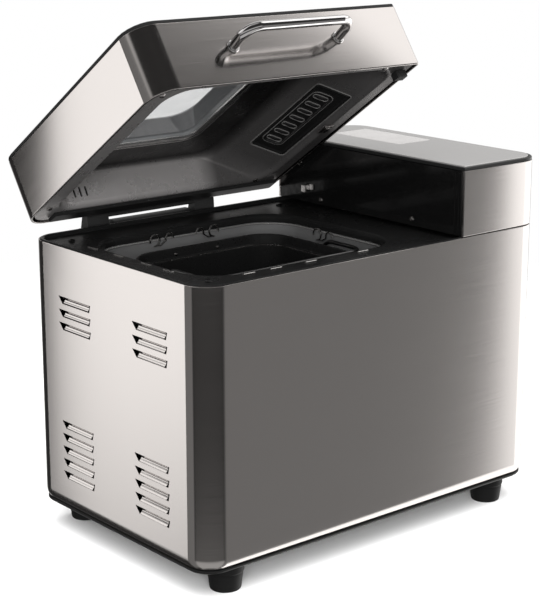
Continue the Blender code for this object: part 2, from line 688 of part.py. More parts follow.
def make_drive():
    """Motor, toothed belt and two pulleys under the chamber, turning the dog that drives the pan."""
    under = CHAMBER_FLOOR - CHAMBER_SHEET - GAP
    bearing = [
        (BORE, BELT_LEVEL + BELT_HEIGHT + 0.006),
        (0.010, BELT_LEVEL + BELT_HEIGHT + 0.006),
        (0.010, under - 0.003),
        (0.024, under - 0.003),
        (0.024, under),
        (BORE, under),
    ]
    solid("drive_bearing", turned(bearing, PAN_X, PAN_Y, 24, loop=True), ALUMINIUM, machine)

    origin = (PAN_X, PAN_Y, BELT_LEVEL)
    profile = [
        (SHAFT_RADIUS, BELT_LEVEL - 0.006),
        (SHAFT_RADIUS, DOG_LEVEL),
        (0.012, DOG_LEVEL),
        (0.012, DOG_LEVEL + 0.003),
    ]
    shaft = solid("drive_shaft", turned(profile, PAN_X, PAN_Y), ALUMINIUM, machine, origin)
    lugs = []
    for y in (PAN_Y - 0.006, PAN_Y + 0.006):
        z0, z1 = DOG_LEVEL + 0.001, DOG_LEVEL + 0.010
        lugs.append(block(PAN_X - 0.003, PAN_X + 0.003, y - 0.002, y + 0.002, z0, z1))
    combine(shaft, "UNION", "dog_lugs", gathered(lugs), machine)

    for name, finish, x, radius, bore, at in (
        ("drive_pulley", BLACK, PAN_X, DRIVE_PULLEY_RADIUS, BORE, origin),
        ("motor_pulley", ALUMINIUM, MOTOR_X, MOTOR_PULLEY_RADIUS, BORE, (MOTOR_X, PAN_Y, BELT_LEVEL)),
    ):
        z0, z1 = BELT_LEVEL - 0.0015, BELT_LEVEL + BELT_HEIGHT + 0.0015
        rim = radius + BELT_THICKNESS + 0.001
        profile = [
            (bore, z0),
            (rim, z0),
            (rim, z0 + 0.001),
            (radius, z0 + 0.001),
            (radius, z1 - 0.001),
            (rim, z1 - 0.001),
            (rim, z1),
            (bore, z1),
        ]
        count = 40 if radius > 0.02 else 24
        solid(name, turned(profile, x, PAN_Y, count, loop=True), finish, machine, at)

    profile = [(SHAFT_RADIUS, BELT_LEVEL - 0.005), (SHAFT_RADIUS, MOTOR_BASE + 0.010)]
    solid("motor_shaft", turned(profile, MOTOR_X, PAN_Y), ALUMINIUM, machine, (MOTOR_X, PAN_Y, BELT_LEVEL))

    big, small = DRIVE_PULLEY_RADIUS + GAP, MOTOR_PULLEY_RADIUS + GAP
    lean = math.asin((big - small) / (MOTOR_X - PAN_X))

    def belt(extra, z):
        points = []
        for x, radius, turn, sweep, steps in (
            (PAN_X, big + extra, math.pi / 2 - lean, math.pi + 2 * lean, 16),
            (MOTOR_X, small + extra, -math.pi / 2 + lean, math.pi - 2 * lean, 8),
        ):
            for i in range(steps + 1):
                at = turn + sweep * i / steps
                points.append((x + radius * math.cos(at), PAN_Y + radius * math.sin(at), z))
        return points

    low, high = BELT_LEVEL, BELT_LEVEL + BELT_HEIGHT
    rings = [belt(0.0, low), belt(BELT_THICKNESS, low), belt(BELT_THICKNESS, high), belt(0.0, high)]
    solid("drive_belt", skin(rings, loop=True), RUBBER, machine)

    half = MOTOR_RADIUS + 0.010
    top = MOTOR_BASE - GAP
    section = [
        (MOTOR_X - half, FLOOR + GAP),
        (MOTOR_X - half + 0.002, FLOOR + GAP),
        (MOTOR_X - half + 0.002, top - 0.002),
        (MOTOR_X + half - 0.002, top - 0.002),
        (MOTOR_X + half - 0.002, FLOOR + GAP),
        (MOTOR_X + half, FLOOR + GAP),
        (MOTOR_X + half, top),
        (MOTOR_X - half, top),
    ]
    bracket = solid(
        "motor_bracket", drawn_along_y(section, PAN_Y - 0.036, PAN_Y + 0.036), GALVANISED, machine
    )
    hole = turned([(0.008, top - 0.01), (0.008, top + 0.01)], MOTOR_X, PAN_Y)
    clearance = block(
        MOTOR_X - half - 0.01,
        MOTOR_X - half + 0.01,
        PAN_Y - MOTOR_PULLEY_RADIUS - 0.012,
        PAN_Y + MOTOR_PULLEY_RADIUS + 0.012,
        BELT_LEVEL - 0.004,
        BELT_LEVEL + BELT_HEIGHT + 0.004,
    )
    combine(bracket, "DIFFERENCE", "bracket_holes", gathered([hole, clearance]), machine)

    profile = [
        (MOTOR_RADIUS - 0.006, MOTOR_BASE),
        (MOTOR_RADIUS, MOTOR_BASE + 0.006),
        (MOTOR_RADIUS, MOTOR_BASE + MOTOR_LENGTH - 0.006),
        (MOTOR_RADIUS - 0.006, MOTOR_BASE + MOTOR_LENGTH),
    ]
    motor = solid("motor", turned(profile, MOTOR_X, PAN_Y, 32), ALUMINIUM, machine)
    bore = turned([(BORE, MOTOR_BASE - 0.01), (BORE, MOTOR_BASE + 0.012)], MOTOR_X, PAN_Y)
    combine(motor, "DIFFERENCE", "motor_bore", bore, machine)


# ---------------------------------------------------------------- electrics


def make_electrics():
    """Power board on the tray at the front of the right bay; display and control boards in the head."""
    x0, x1 = OPENING[1] + 0.012, RIGHT - 0.010
    y = FRONT + 0.020
    z0 = FLOOR + GAP
    board = solid("power_board", block(x0, x1, y, y + 0.0016, z0, z0 + 0.110), COPPER_BOARD, machine)
    parts = [
        block(x0 + 0.010, x0 + 0.030, y + 0.001, y + 0.018, z0 + 0.070, z0 + 0.095),
        block(x0 + 0.045, x0 + 0.063, y + 0.001, y + 0.015, z0 + 0.075, z0 + 0.100),
        block(x0 + 0.080, x0 + 0.110, y + 0.001, y + 0.010, z0 + 0.015, z0 + 0.045),
    ]
    combine(board, "UNION", "board_parts", gathered(parts), machine)
    z = MOTOR_BASE + MOTOR_LENGTH + 0.020
    core = block(MOTOR_X - 0.022, MOTOR_X + 0.022, y + 0.030, y + 0.068, z, z + 0.034)
    solid("transformer", core, GALVANISED, machine)
    shelf = block(MOTOR_X - 0.030, MOTOR_X + 0.030, y + 0.0016 + GAP, y + 0.075, z - 0.002 - GAP, z - GAP)
    solid("transformer_shelf", shelf, GALVANISED, machine)


def make_head():
    """The raised right end: steel on three sides, a black wall towards the lid and a flat touch panel."""
    steel_low = DECK + 0.0010
    outer, inner = HEAD_BOX, inset(HEAD_BOX, SHEET)
    corners = ((outer, steel_low), (outer, HEAD_TOP), (inner, HEAD_TOP), (inner, steel_low))
    rings = [outline(box, z) for box, z in corners]
    wrap = solid("head_wrap", skin(rings, loop=True), STEEL, machine)
    y0, y1 = FRONT + HEAD_RETURN, BACK - HEAD_RETURN
    cutter = block(HEAD_LEFT - 0.01, HEAD_LEFT + 0.004, y0, y1, DECK - 0.01, HEAD_TOP + 0.01)
    combine(wrap, "DIFFERENCE", "head_side_cutter", cutter, machine)

    low, high = DECK + 0.0007 + GAP, HEAD_TOP - GAP
    front, back = y0 + GAP, y1 - GAP
    side = SIDE_PANEL_THICKNESS
    section = [
        (HEAD_LEFT, front),
        (HEAD_LEFT + 0.010, front),
        (HEAD_LEFT + 0.010, front + side),
        (HEAD_LEFT + side, front + side),
        (HEAD_LEFT + side, back - side),
        (HEAD_LEFT + 0.010, back - side),
        (HEAD_LEFT + 0.010, back),
        (HEAD_LEFT, back),
    ]
    rings = [[(x, y, z) for x, y in section] for z in (low, high)]
    panel = solid("head_side_panel", skin(rings), GLOSS_BLACK, machine)
    bore = PIN_RADIUS + GAP
    hole = turned_along([(bore, 0.0), (bore, 0.02)], (HEAD_LEFT - 0.005, PIN_Y, PIN_Z), (1, 0, 0))
    combine(panel, "DIFFERENCE", "pin_hole", hole, machine)

    fit = SHEET + GAP
    seat = PANEL_MARGIN
    top = HEAD_TOP + HEAD_BAND
    rings = [
        outline(inset(HEAD_BOX, fit + 0.0090), HEAD_TOP - 0.0050),
        outline(inset(HEAD_BOX, fit + 0.0075), HEAD_TOP - 0.0050),
        outline(inset(HEAD_BOX, fit + 0.0075), HEAD_TOP + GAP),
        outline(inset(HEAD_BOX, 0.0003), HEAD_TOP + GAP),
        outline(inset(HEAD_BOX, 0.0003), top - 0.0006),
        outline(inset(HEAD_BOX, 0.0009), top),
        outline(inset(HEAD_BOX, seat - 0.0006), top),
        outline(inset(HEAD_BOX, seat), top - PANEL_THICKNESS - GAP + 0.0008),
        outline(inset(HEAD_BOX, fit + 0.0090), top - PANEL_THICKNESS - GAP + 0.0008),
    ]
    solid("head_frame", skin(rings, loop=True), BLACK, machine)

    plate_box = inset(HEAD_BOX, seat + GAP)
    low = top - PANEL_THICKNESS + 0.0008
    high = top + 0.0008
    rings = [
        outline(plate_box, low),
        outline(plate_box, high - 0.0005),
        outline(inset(plate_box, 0.0005), high),
        outline(inset(DISPLAY, -GAP), high),
        outline(inset(DISPLAY, -GAP), low),
    ]
    solid("control_panel", skin(rings, loop=True), PANEL_GREY, machine)
    rings = [outline(DISPLAY, low), outline(DISPLAY, high)]
    solid("display_window", skin(rings), GLAZING, machine)

    left, right, front, back, _ = inset(DISPLAY, -0.003)
    module = block(left, right, front, back, low - 0.007, low - 0.0021)
    solid("display_module", module, GLOSS_BLACK, machine)
    left, right, front, back, _ = inset(HEAD_BOX, 0.016)
    board = block(left, right, front, back, low - 0.0095, low - 0.0079)
    solid("control_board", board, COPPER_BOARD, machine)


DISPLAY = (HEAD_LEFT + 0.040, RIGHT - 0.016, FRONT + 0.118, BACK - 0.032, (0.003,) * 4)
PIN_RADIUS = 0.0028
PIN_Y, PIN_Z = BACK - 0.042, DECK + 0.015


def make_release():
    """Solenoid in the head whose pin trips the dispenser's flap through the lid's side."""
    x0 = HEAD_LEFT + SIDE_PANEL_THICKNESS + 0.004
    solenoid = solid(
        "release_solenoid",
        block(x0, x0 + 0.034, PIN_Y - 0.011, PIN_Y + 0.011, PIN_Z - 0.011, PIN_Z + 0.011),
        GALVANISED,
        machine,
    )
    bore = PIN_RADIUS + GAP
    hole = turned_along([(bore, 0.0), (bore, 0.030)], (x0 - 0.005, PIN_Y, PIN_Z), (1, 0, 0))
    combine(solenoid, "DIFFERENCE", "solenoid_bore", hole, machine)
    start = (HEAD_LEFT - 0.0010, PIN_Y, PIN_Z)
    profile = [(PIN_RADIUS - 0.0006, 0.0), (PIN_RADIUS, 0.0006), (PIN_RADIUS, 0.024)]
    pin = turned_along(profile, start, (1, 0, 0), 16)
    solid("release_pin", pin, CHROME, machine, start)


# ---------------------------------------------------------------- bread pan and kneader


def make_pan():
    """Cast pan with a rolled rim, two pivot lugs and a round foot that stands in the socket."""
    outer = PAN_RIM
    rings = [
        outline(inset(PAN_BOX, outer + PAN_TAPER + 0.006), PAN_BOTTOM),
        outline(inset(PAN_BOX, outer + PAN_TAPER), PAN_BOTTOM + 0.006),
        outline(inset(PAN_BOX, outer), PAN_TOP - 0.010),
        outline(inset(PAN_BOX, outer - 0.0005), PAN_TOP - 0.004),
        outline(inset(PAN_BOX, 0.0), PAN_TOP - 0.003),
        outline(inset(PAN_BOX, 0.0), PAN_TOP - 0.0008),
        outline(inset(PAN_BOX, 0.0010), PAN_TOP),
        outline(inset(PAN_BOX, outer - 0.0005), PAN_TOP - 0.0003),
        outline(inset(PAN_BOX, outer + PAN_WALL - 0.001), PAN_TOP - 0.008),
        outline(inset(PAN_BOX, outer + PAN_WALL + 0.001), PAN_TOP - 0.009),
        outline(inset(PAN_BOX, outer + PAN_WALL + PAN_TAPER), PAN_BOTTOM + 0.008),
        outline(inset(PAN_BOX, outer + PAN_WALL + PAN_TAPER + 0.006), PAN_BOTTOM + 0.003),
    ]
    origin = (PAN_X, PAN_Y, PAN_FOOT)
    pan = solid("bread_pan", skin(rings), NON_STICK, machine, origin)
    foot = [
        (PAN_FOOT_RADIUS - 0.003, PAN_FOOT),
        (PAN_FOOT_RADIUS, PAN_FOOT),
        (PAN_FOOT_RADIUS, PAN_BOTTOM + 0.001),
        (PAN_FOOT_RADIUS - 0.003, PAN_BOTTOM + 0.001),
    ]
    lugs = []
    for wall, sign in ((PAN_BOX[0], -1), (PAN_BOX[1], 1)):
        x0, x1 = sorted((wall - sign * 0.0045, wall - sign * 0.0004))
        lugs.append(block(x0, x1, PAN_Y - 0.008, PAN_Y + 0.008, BAIL_Z - 0.009, BAIL_Z + 0.0055))
    additions = gathered([turned(foot, PAN_X, PAN_Y, 32, loop=True), *lugs])
    combine(pan, "UNION", "pan_additions", additions, machine)
    holes = [turned([(BORE, PAN_FOOT - 0.01), (BORE, PAN_BOTTOM + 0.02)], PAN_X, PAN_Y)]
    reach = BAIL_WIRE + GAP
    for wall, sign in ((PAN_BOX[0], -1), (PAN_BOX[1], 1)):
        start = (wall - sign * 0.0036, PAN_Y, BAIL_Z)
        holes.append(turned_along([(reach, 0.0), (reach, 0.012)], start, (sign, 0, 0), 12))
    combine(pan, "DIFFERENCE", "pan_holes", gathered(holes), machine)

    out_left, out_right = PAN_BOX[0] - 0.0035, PAN_BOX[1] + 0.0035
    corners = [
        (PAN_BOX[0] + 0.0030, PAN_Y, BAIL_Z),
        (out_left, PAN_Y, BAIL_Z),
        (out_left, PAN_Y - 0.014, PAN_TOP + 0.0025),
        (out_left, PAN_Y - BAIL_REACH, PAN_TOP + 0.0025),
        (out_right, PAN_Y - BAIL_REACH, PAN_TOP + 0.0025),
        (out_right, PAN_Y - 0.014, PAN_TOP + 0.0025),
        (out_right, PAN_Y, BAIL_Z),
        (PAN_BOX[1] - 0.0030, PAN_Y, BAIL_Z),
    ]
    path = bent(corners[:3], 0.0028, 2)[:-1]
    path += bent(corners[1:4], 0.010, 2)[1:-1]
    path += bent(corners[2:6], 0.014, 4)[1:-1]
    path += bent(corners[4:7], 0.010, 2)[1:-1]
    path += bent(corners[5:], 0.0028, 2)[1:]
    wire("pan_handle", path, BAIL_WIRE, CHROME, machine, (PAN_X, PAN_Y, BAIL_Z))


def make_kneader():
    """Shaft through the pan's floor, with the crossbar that the dog turns and a lift-off paddle."""
    origin = (PAN_X, PAN_Y, PAN_BOTTOM)
    bar_low = DOG_LEVEL + 0.0035
    shaft_top = PAN_BOTTOM + 0.030
    profile = [(SHAFT_RADIUS, bar_low + 0.001), (SHAFT_RADIUS, shaft_top)]
    shaft = solid("kneader_shaft", turned(profile, PAN_X, PAN_Y, 20), ALUMINIUM, machine, origin)
    bar = block(PAN_X - 0.011, PAN_X + 0.011, PAN_Y - 0.0025, PAN_Y + 0.0025, bar_low, bar_low + 0.005)
    combine(shaft, "UNION", "kneader_bar", bar, machine)
    low = PAN_BOTTOM + 0.003 + RUNNING_GAP
    hub = [(BORE, low), (0.010, low), (0.008, low + 0.022), (BORE, low + 0.022)]
    paddle = solid("kneading_paddle", turned(hub, PAN_X, PAN_Y, 20, loop=True), NON_STICK, machine, origin)
    blade = [
        (PAN_X - 0.007, low),
        (PAN_X - 0.040, low),
        (PAN_X - 0.040, low + 0.010),
        (PAN_X - 0.030, low + 0.030),
        (PAN_X - 0.018, low + 0.033),
        (PAN_X - 0.007, low + 0.020),
    ]
    combine(paddle, "UNION", "paddle_blade", drawn_along_y(blade, PAN_Y - 0.002, PAN_Y + 0.002), machine)


# ---------------------------------------------------------------- lid


def slope_level(x):
    """Level of the liner's sloping right side at x."""
    right = LIP[1]
    low = FLANGE + 0.004
    return low + (right - x) / LINER_SLOPE_RUN * (CEILING - low)


COVER = (
    DISPENSER_INNER - 0.006,
    DISPENSER_OUTER - 0.002,
    WINDOW_Y - DISPENSER_LENGTH / 2 + 0.009,
    WINDOW_Y + DISPENSER_LENGTH / 2 + 0.009,
    (0.004,) * 4,
)
OUTER_WINDOW = inset(WINDOW, -WINDOW_OUTER_MARGIN)
PLATE = inset(LID_BOX, PANEL_MARGIN + GAP)


def make_lid():
    """Steel-sided lid: black cap frame, grey top plate, double window and a pressed metal liner."""
    box = LID_BOX
    rings = [
        outline(box, LID_BOTTOM),
        outline(box, LID_TOP),
        outline(inset(box, SHEET), LID_TOP),
        outline(inset(box, SHEET), LID_BOTTOM + SHEET),
        outline(inset(box, 0.004), LID_BOTTOM + SHEET),
        outline(inset(box, 0.004), LID_BOTTOM),
    ]
    solid("lid_wrap", skin(rings, loop=True), STEEL, lid)

    fit = SHEET + GAP
    top = LID_TOP + LID_CAP_HEIGHT - 0.0008
    seat = PANEL_MARGIN
    under = top - PANEL_THICKNESS - GAP + 0.0008
    rings = [
        outline(inset(box, fit), LID_TOP - 0.008),
        outline(inset(box, fit), LID_TOP + GAP),
        outline(inset(box, 0.0003), LID_TOP + GAP),
        outline(inset(box, 0.0003), top - 0.0006),
        outline(inset(box, 0.0009), top),
        outline(inset(box, seat - 0.0006), top),
        outline(inset(box, seat), under),
        outline(inset(box, seat + 0.010), under),
        outline(inset(box, seat + 0.010), under - 0.0015),
        outline(inset(box, fit + 0.0018), under - 0.0022),
        outline(inset(box, fit + 0.0018), LID_TOP - 0.008),
    ]
    solid("lid_cap", skin(rings, loop=True), BLACK, lid)

    low, high = under + GAP, top + 0.0008
    rings = [
        outline(PLATE, low),
        outline(PLATE, high - 0.0005),
        outline(inset(PLATE, 0.0005), high),
        outline(inset(OUTER_WINDOW, -GAP), high),
        outline(inset(OUTER_WINDOW, -GAP), low),
    ]
    plate = solid("lid_panel", skin(rings, loop=True), PANEL_GREY, lid)
    hole = [outline(inset(COVER, -GAP), low - 0.01, 2), outline(inset(COVER, -GAP), high + 0.01, 2)]
    combine(plate, "DIFFERENCE", "cover_hole", skin(hole), lid)
    rings = [outline(OUTER_WINDOW, low), outline(OUTER_WINDOW, high)]
    solid("lid_window", skin(rings), GLAZING, lid)

    well = inset(WINDOW, 0.0015)
    rings = [
        outline(inset(WINDOW, -0.009), low - GAP),
        outline(inset(OUTER_WINDOW, 0.001), low - GAP),
        outline(inset(OUTER_WINDOW, 0.001), low - 0.0025),
        outline(inset(WINDOW, -0.006), CEILING + LINER_SHEET + 0.004),
        outline(inset(WINDOW, -0.006), CEILING + LINER_SHEET + GAP),
        outline(inset(WINDOW, -0.002), CEILING + LINER_SHEET + GAP),
        outline(inset(WINDOW, -0.002), CEILING + LINER_SHEET + 0.0045),
    ]
    solid("window_well", skin(rings, loop=True), BLACK, lid)
    pane = [outline(well, CEILING - 0.0005), outline(well, CEILING + GLASS - 0.0005)]
    solid("inner_window", skin(pane), GLAZING, lid)


def make_liner():
    """Metal liner pressed into a shallow tray: flat flange, upright walls and a sloping right side."""
    t = LINER_SHEET
    low = FLANGE
    left, right, front, back, radii = LIP
    foot = low + 0.004
    roof = (left + 0.003, right - LINER_SLOPE_RUN, front + 0.003, back - 0.003, radii)
    flange = inset(LID_BOX, SHEET + GAP)
    rings = [
        outline(flange, low),
        outline(inset(LIP, -0.0015), low),
        outline(LIP, low + 0.0015),
        outline(inset(LIP, 0.0003), foot),
        outline(roof, CEILING),
        outline(WINDOW, CEILING),
        outline(WINDOW, CEILING + t),
        outline(inset(roof, -t), CEILING + t),
        outline(inset(LIP, 0.0003 - t), foot + 0.0005),
        outline(inset(LIP, -t - 0.0015), low + t),
        outline(flange, low + t),
    ]
    liner = solid("lid_liner", skin(rings, loop=True), GALVANISED, lid)
    y0, y1 = WINDOW_Y - DISPENSER_LENGTH / 2 + 0.009, WINDOW_Y + DISPENSER_LENGTH / 2 + 0.009
    cut = block(DISPENSER_INNER, DISPENSER_OUTER, y0, y1, LID_BOTTOM - 0.01, LID_TOP)
    cuts = [cut]
    for x in (left + 0.023, left + 0.029, left + 0.035):
        cuts.append(block(x - 0.001, x + 0.001, back - 0.01, back + 0.01, low + 0.0085, low + 0.0175))
    combine(liner, "DIFFERENCE", "dispenser_cutter", gathered(cuts), lid)

    rail_z0, rail_z1 = DECK - 0.0015, low - GAP
    rail = block(LEFT + BODY_CORNER, LID_RIGHT - 0.006, BACK - 0.020, BACK - 0.0072, rail_z0, rail_z1)
    solid("lid_rear_rail", rail, BLACK, lid)
    half_x, half_y = PEG_WIDTH / 2, PEG_DEPTH / 2
    z0, z1 = low - GAP - PEG_DROP, low - GAP
    peg = block(PEG_X - half_x, PEG_X + half_x, PEG_Y - half_y, PEG_Y + half_y, z0, z1)
    solid("lid_peg", peg, BLACK, lid)


def make_dispenser():
    """Hopper let into the lid's right side, filled from above and emptied by the sloping flap."""
    y0, y1 = COVER[2], COVER[3]
    high = LID_TOP + LID_CAP_HEIGHT - PANEL_THICKNESS - GAP
    clear, wall = GAP, HOPPER_WALL

    def level(shrink, lift):
        x0, x1 = DISPENSER_INNER + shrink, DISPENSER_OUTER - shrink
        corners = ((x0, y0 + shrink), (x1, y0 + shrink), (x1, y1 - shrink), (x0, y1 - shrink))
        return [(x, y, slope_level(x) + lift) for x, y in corners]

    def top(shrink):
        return [(x, y, high) for x, y, _ in level(shrink, 0.0)]

    lift = 0.003
    rings = [level(clear, lift), top(clear), top(clear + wall), level(clear + wall, lift)]
    solid("dispenser_hopper", skin(rings, loop=True), BLACK, lid)

    x0, x1 = DISPENSER_INNER + 0.0006, DISPENSER_OUTER - 0.0006
    flap_y0, flap_y1 = y0 + 0.0006, y1 - 0.0006
    corners = ((x0, flap_y0), (x1, flap_y0), (x1, flap_y1), (x0, flap_y1))
    face = [[(x, y, slope_level(x) + dz) for x, y in corners] for dz in (0.0, 0.0022)]
    hinge = (x1, (y0 + y1) / 2, slope_level(x1) + 0.0002)
    flap = solid("dispenser_flap", skin(face), NON_STICK, lid, hinge)
    ribs = []
    for i in range(7):
        y = WINDOW_Y + 0.009 + (i - 3) * 0.0129
        x = (DISPENSER_INNER + DISPENSER_OUTER) / 2 - 0.003
        section = [(x - 0.007, -0.0008), (x + 0.007, -0.0008), (x + 0.007, 0.001), (x - 0.007, 0.001)]
        points = [(u, slope_level(u) + dz) for u, dz in section]
        ribs.append(drawn_along_y(points, y - 0.0012, y + 0.0012))
    combine(flap, "UNION", "flap_ribs", gathered(ribs), lid)

    cover_low = LID_TOP + LID_CAP_HEIGHT - PANEL_THICKNESS + GAP
    cover_high = LID_TOP + LID_CAP_HEIGHT
    rings = [
        outline(COVER, cover_low, 3),
        outline(COVER, cover_high - 0.0005, 3),
        outline(inset(COVER, 0.0005), cover_high, 3),
    ]
    hinge = (COVER[1], (y0 + y1) / 2, cover_high)
    solid("dispenser_cover", skin(rings), GLOSS_BLACK, lid, hinge)


def make_handle():
    """Chrome bar with two legs returning to the lid's front."""
    middle = LID_MIDDLE + HANDLE_OFFSET
    z = LID_BOTTOM + HANDLE_LEVEL
    foot, bar = FRONT - GAP - 0.0006, FRONT - HANDLE_REACH
    half = HANDLE_SPAN / 2
    corners = [
        (middle - half, foot, z),
        (middle - half, bar, z + HANDLE_RISE),
        (middle + half, bar, z + HANDLE_RISE),
        (middle + half, foot, z),
    ]
    wire("lid_handle", bent(corners, HANDLE_BEND, 6), HANDLE_RADIUS, CHROME, lid, sides=3)


def knuckle_profile():
    """Side view of a lid hinge arm: a plate on the lid's back and a round knuckle on the axis."""
    y0, top = BACK + GAP, LID_BOTTOM + HINGE_PLATE_HEIGHT
    points = [(y0, top), (y0 + 0.0035, top), (y0 + 0.0055, LID_BOTTOM + 0.006)]
    for i in range(11):
        turn = math.radians(60 - 240 * i / 10)
        y, z = HINGE_KNUCKLE_RADIUS * math.cos(turn), HINGE_KNUCKLE_RADIUS * math.sin(turn)
        points.append((HINGE_Y + y, HINGE_Z + z))
    points.append((y0 + 0.0015, LID_BOTTOM - 0.002))
    points.append((y0, LID_BOTTOM + 0.001))
    return points


def make_hinges():
    """Two hinges, with a cover on the body and a stiffening bar on the lid between them."""
    half = HINGE_ARM_WIDTH / 2
    outer = half + RUNNING_GAP + HINGE_EAR
    bore = HINGE_PIN_RADIUS + GAP
    y0, low = BACK + GAP, HINGE_Z - 0.018
    for side, sign in (("left", -1), ("right", 1)):
        x = LID_MIDDLE + sign * HINGE_SPREAD / 2
        arm = solid(f"hinge_arm_{side}", drawn(knuckle_profile(), x - half, x + half), BLACK, lid)
        reach = outer + 0.004
        hole = turned_along([(bore, -reach), (bore, reach)], (x, HINGE_Y, HINGE_Z), (1, 0, 0), 16)
        combine(arm, "DIFFERENCE", f"knuckle_hole_{side}", hole, lid)

        plate = block(x - outer, x + outer, y0, y0 + 0.003, low, HINGE_Z + 0.004)
        bracket = solid(f"hinge_bracket_{side}", plate, BLACK, machine)
        ears = []
        radius = HINGE_KNUCKLE_RADIUS
        section = [(y0, HINGE_Z + 0.006), (y0, low)]
        for i in range(9):
            turn = math.radians(-60 + 150 * i / 8)
            section.append((HINGE_Y + radius * math.cos(turn), HINGE_Z + radius * math.sin(turn)))
        for inner in (x - outer, x + outer - HINGE_EAR):
            ears.append(drawn(section, inner, inner + HINGE_EAR))
        combine(bracket, "UNION", f"ears_{side}", gathered(ears), machine)
        hole = turned_along([(bore, -reach), (bore, reach)], (x, HINGE_Y, HINGE_Z), (1, 0, 0), 16)
        combine(bracket, "DIFFERENCE", f"ear_holes_{side}", hole, machine)
        pin = [(HINGE_PIN_RADIUS, -outer), (HINGE_PIN_RADIUS, outer)]
        solid(f"hinge_pin_{side}", turned_along(pin, (x, HINGE_Y, HINGE_Z), (1, 0, 0), 16), CHROME, machine)

    reach = HINGE_SPREAD / 2 - outer - GAP
    section = [(y0, low), (y0, HINGE_Z + 0.006)]
    for i in range(11):
        turn = math.radians(140 - 200 * i / 10)
        y, z = HINGE_COVER_RADIUS * math.cos(turn), HINGE_COVER_RADIUS * math.sin(turn)
        section.append((HINGE_Y + y, HINGE_Z + z))
    solid("hinge_cover", drawn(section, LID_MIDDLE - reach, LID_MIDDLE + reach), BLACK, machine)

    reach = HINGE_SPREAD / 2 - half - GAP
    bar_low, bar_high = HINGE_Z + HINGE_BAR_RISE, LID_BOTTOM + HINGE_PLATE_HEIGHT
    bar = block(LID_MIDDLE - reach, LID_MIDDLE + reach, y0, y0 + HINGE_BAR_DEPTH, bar_low, bar_high)
    solid("hinge_bar", bar, BLACK, lid)


make_base()
make_wrap()
make_inlet()
make_deck()
make_chamber()
make_clips()
make_socket()
make_drive()
make_electrics()
make_head()
make_release()
make_pan()
make_kneader()
make_lid()
make_liner()
make_dispenser()
make_handle()
make_hinges()
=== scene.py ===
import json
import math

import bmesh
import bpy
from mathutils import Matrix, Vector


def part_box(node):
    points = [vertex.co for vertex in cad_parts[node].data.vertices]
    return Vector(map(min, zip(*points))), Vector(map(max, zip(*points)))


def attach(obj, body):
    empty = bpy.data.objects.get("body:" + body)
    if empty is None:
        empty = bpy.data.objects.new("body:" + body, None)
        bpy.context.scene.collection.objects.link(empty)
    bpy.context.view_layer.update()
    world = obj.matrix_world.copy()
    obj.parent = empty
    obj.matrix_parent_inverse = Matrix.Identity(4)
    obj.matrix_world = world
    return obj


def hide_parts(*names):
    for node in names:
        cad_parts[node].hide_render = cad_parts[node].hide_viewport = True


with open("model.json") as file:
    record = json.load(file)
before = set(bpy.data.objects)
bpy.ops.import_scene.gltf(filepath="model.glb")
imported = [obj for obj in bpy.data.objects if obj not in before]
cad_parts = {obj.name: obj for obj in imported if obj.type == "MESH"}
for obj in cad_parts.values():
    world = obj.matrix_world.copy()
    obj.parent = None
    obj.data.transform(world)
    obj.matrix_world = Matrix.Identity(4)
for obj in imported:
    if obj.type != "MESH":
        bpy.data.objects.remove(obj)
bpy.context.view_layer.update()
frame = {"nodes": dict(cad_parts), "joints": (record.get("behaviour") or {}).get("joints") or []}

nodes = frame["nodes"]

# ---------------------------------------------------------------- steel wrap of the body
# One band of thin stainless sheet, bent round four upright corners and rolled under at the bottom.
# It is brushed along its length, and its louvres are strips of the same sheet pressed inwards.


class Link:
    """One socket of a material, so that sums on it read as sums."""

    def __init__(self, tree, socket):
        self.tree = tree
        self.socket = socket

    def node(self, kind, settings=None, inputs=None):
        made = self.tree.nodes.new(kind)
        for key, value in (settings or {}).items():
            if key == "stops":
                ramp = made.color_ramp.elements
                while len(ramp) < len(value):
                    ramp.new(0.5)
                for stop, (at, tone) in zip(ramp, value):
                    stop.position = at
                    stop.color = (tone, tone, tone, 1.0)
            else:
                setattr(made, key, value)
        for key, value in (inputs or {}).items():
            if isinstance(value, Link):
                self.tree.links.new(value.socket, made.inputs[key])
            else:
                made.inputs[key].default_value = value
        return made

    def get(self, made, output=0):
        return Link(self.tree, made.outputs[output])

    def sum(self, operation, other, swapped=False):
        pair = (other, self) if swapped else (self, other)
        made = self.node("ShaderNodeMath", {"operation": operation}, dict(enumerate(pair)))
        return self.get(made)

    def __add__(self, other):
        return self.sum("ADD", other)

    def __mul__(self, other):
        return self.sum("MULTIPLY", other)

    def __sub__(self, other):
        return self.sum("SUBTRACT", other)

    def __rsub__(self, other):
        return self.sum("SUBTRACT", other, True)

    __radd__ = __add__
    __rmul__ = __mul__

    def noise(self, stretch, detail=3.0, rough=0.55):
        """Grain from the piece's own coordinates, with its fineness along each axis."""
        moved = self.node("ShaderNodeMapping", None, {"Vector": self, "Scale": stretch})
        grain = {"Vector": self.get(moved), "Scale": 1.0, "Detail": detail, "Roughness": rough}
        return self.get(self.node("ShaderNodeTexNoise", None, grain))

    def ramp(self, *stops):
        return self.get(self.node("ShaderNodeValToRGB", {"stops": stops}, {"Fac": self}))

    def blend(self, low, high):
        """A colour between two, by this value."""
        colours = {0: self, 6: (*low, 1.0), 7: (*high, 1.0)}
        return self.get(self.node("ShaderNodeMix", {"data_type": "RGBA"}, colours), 2)


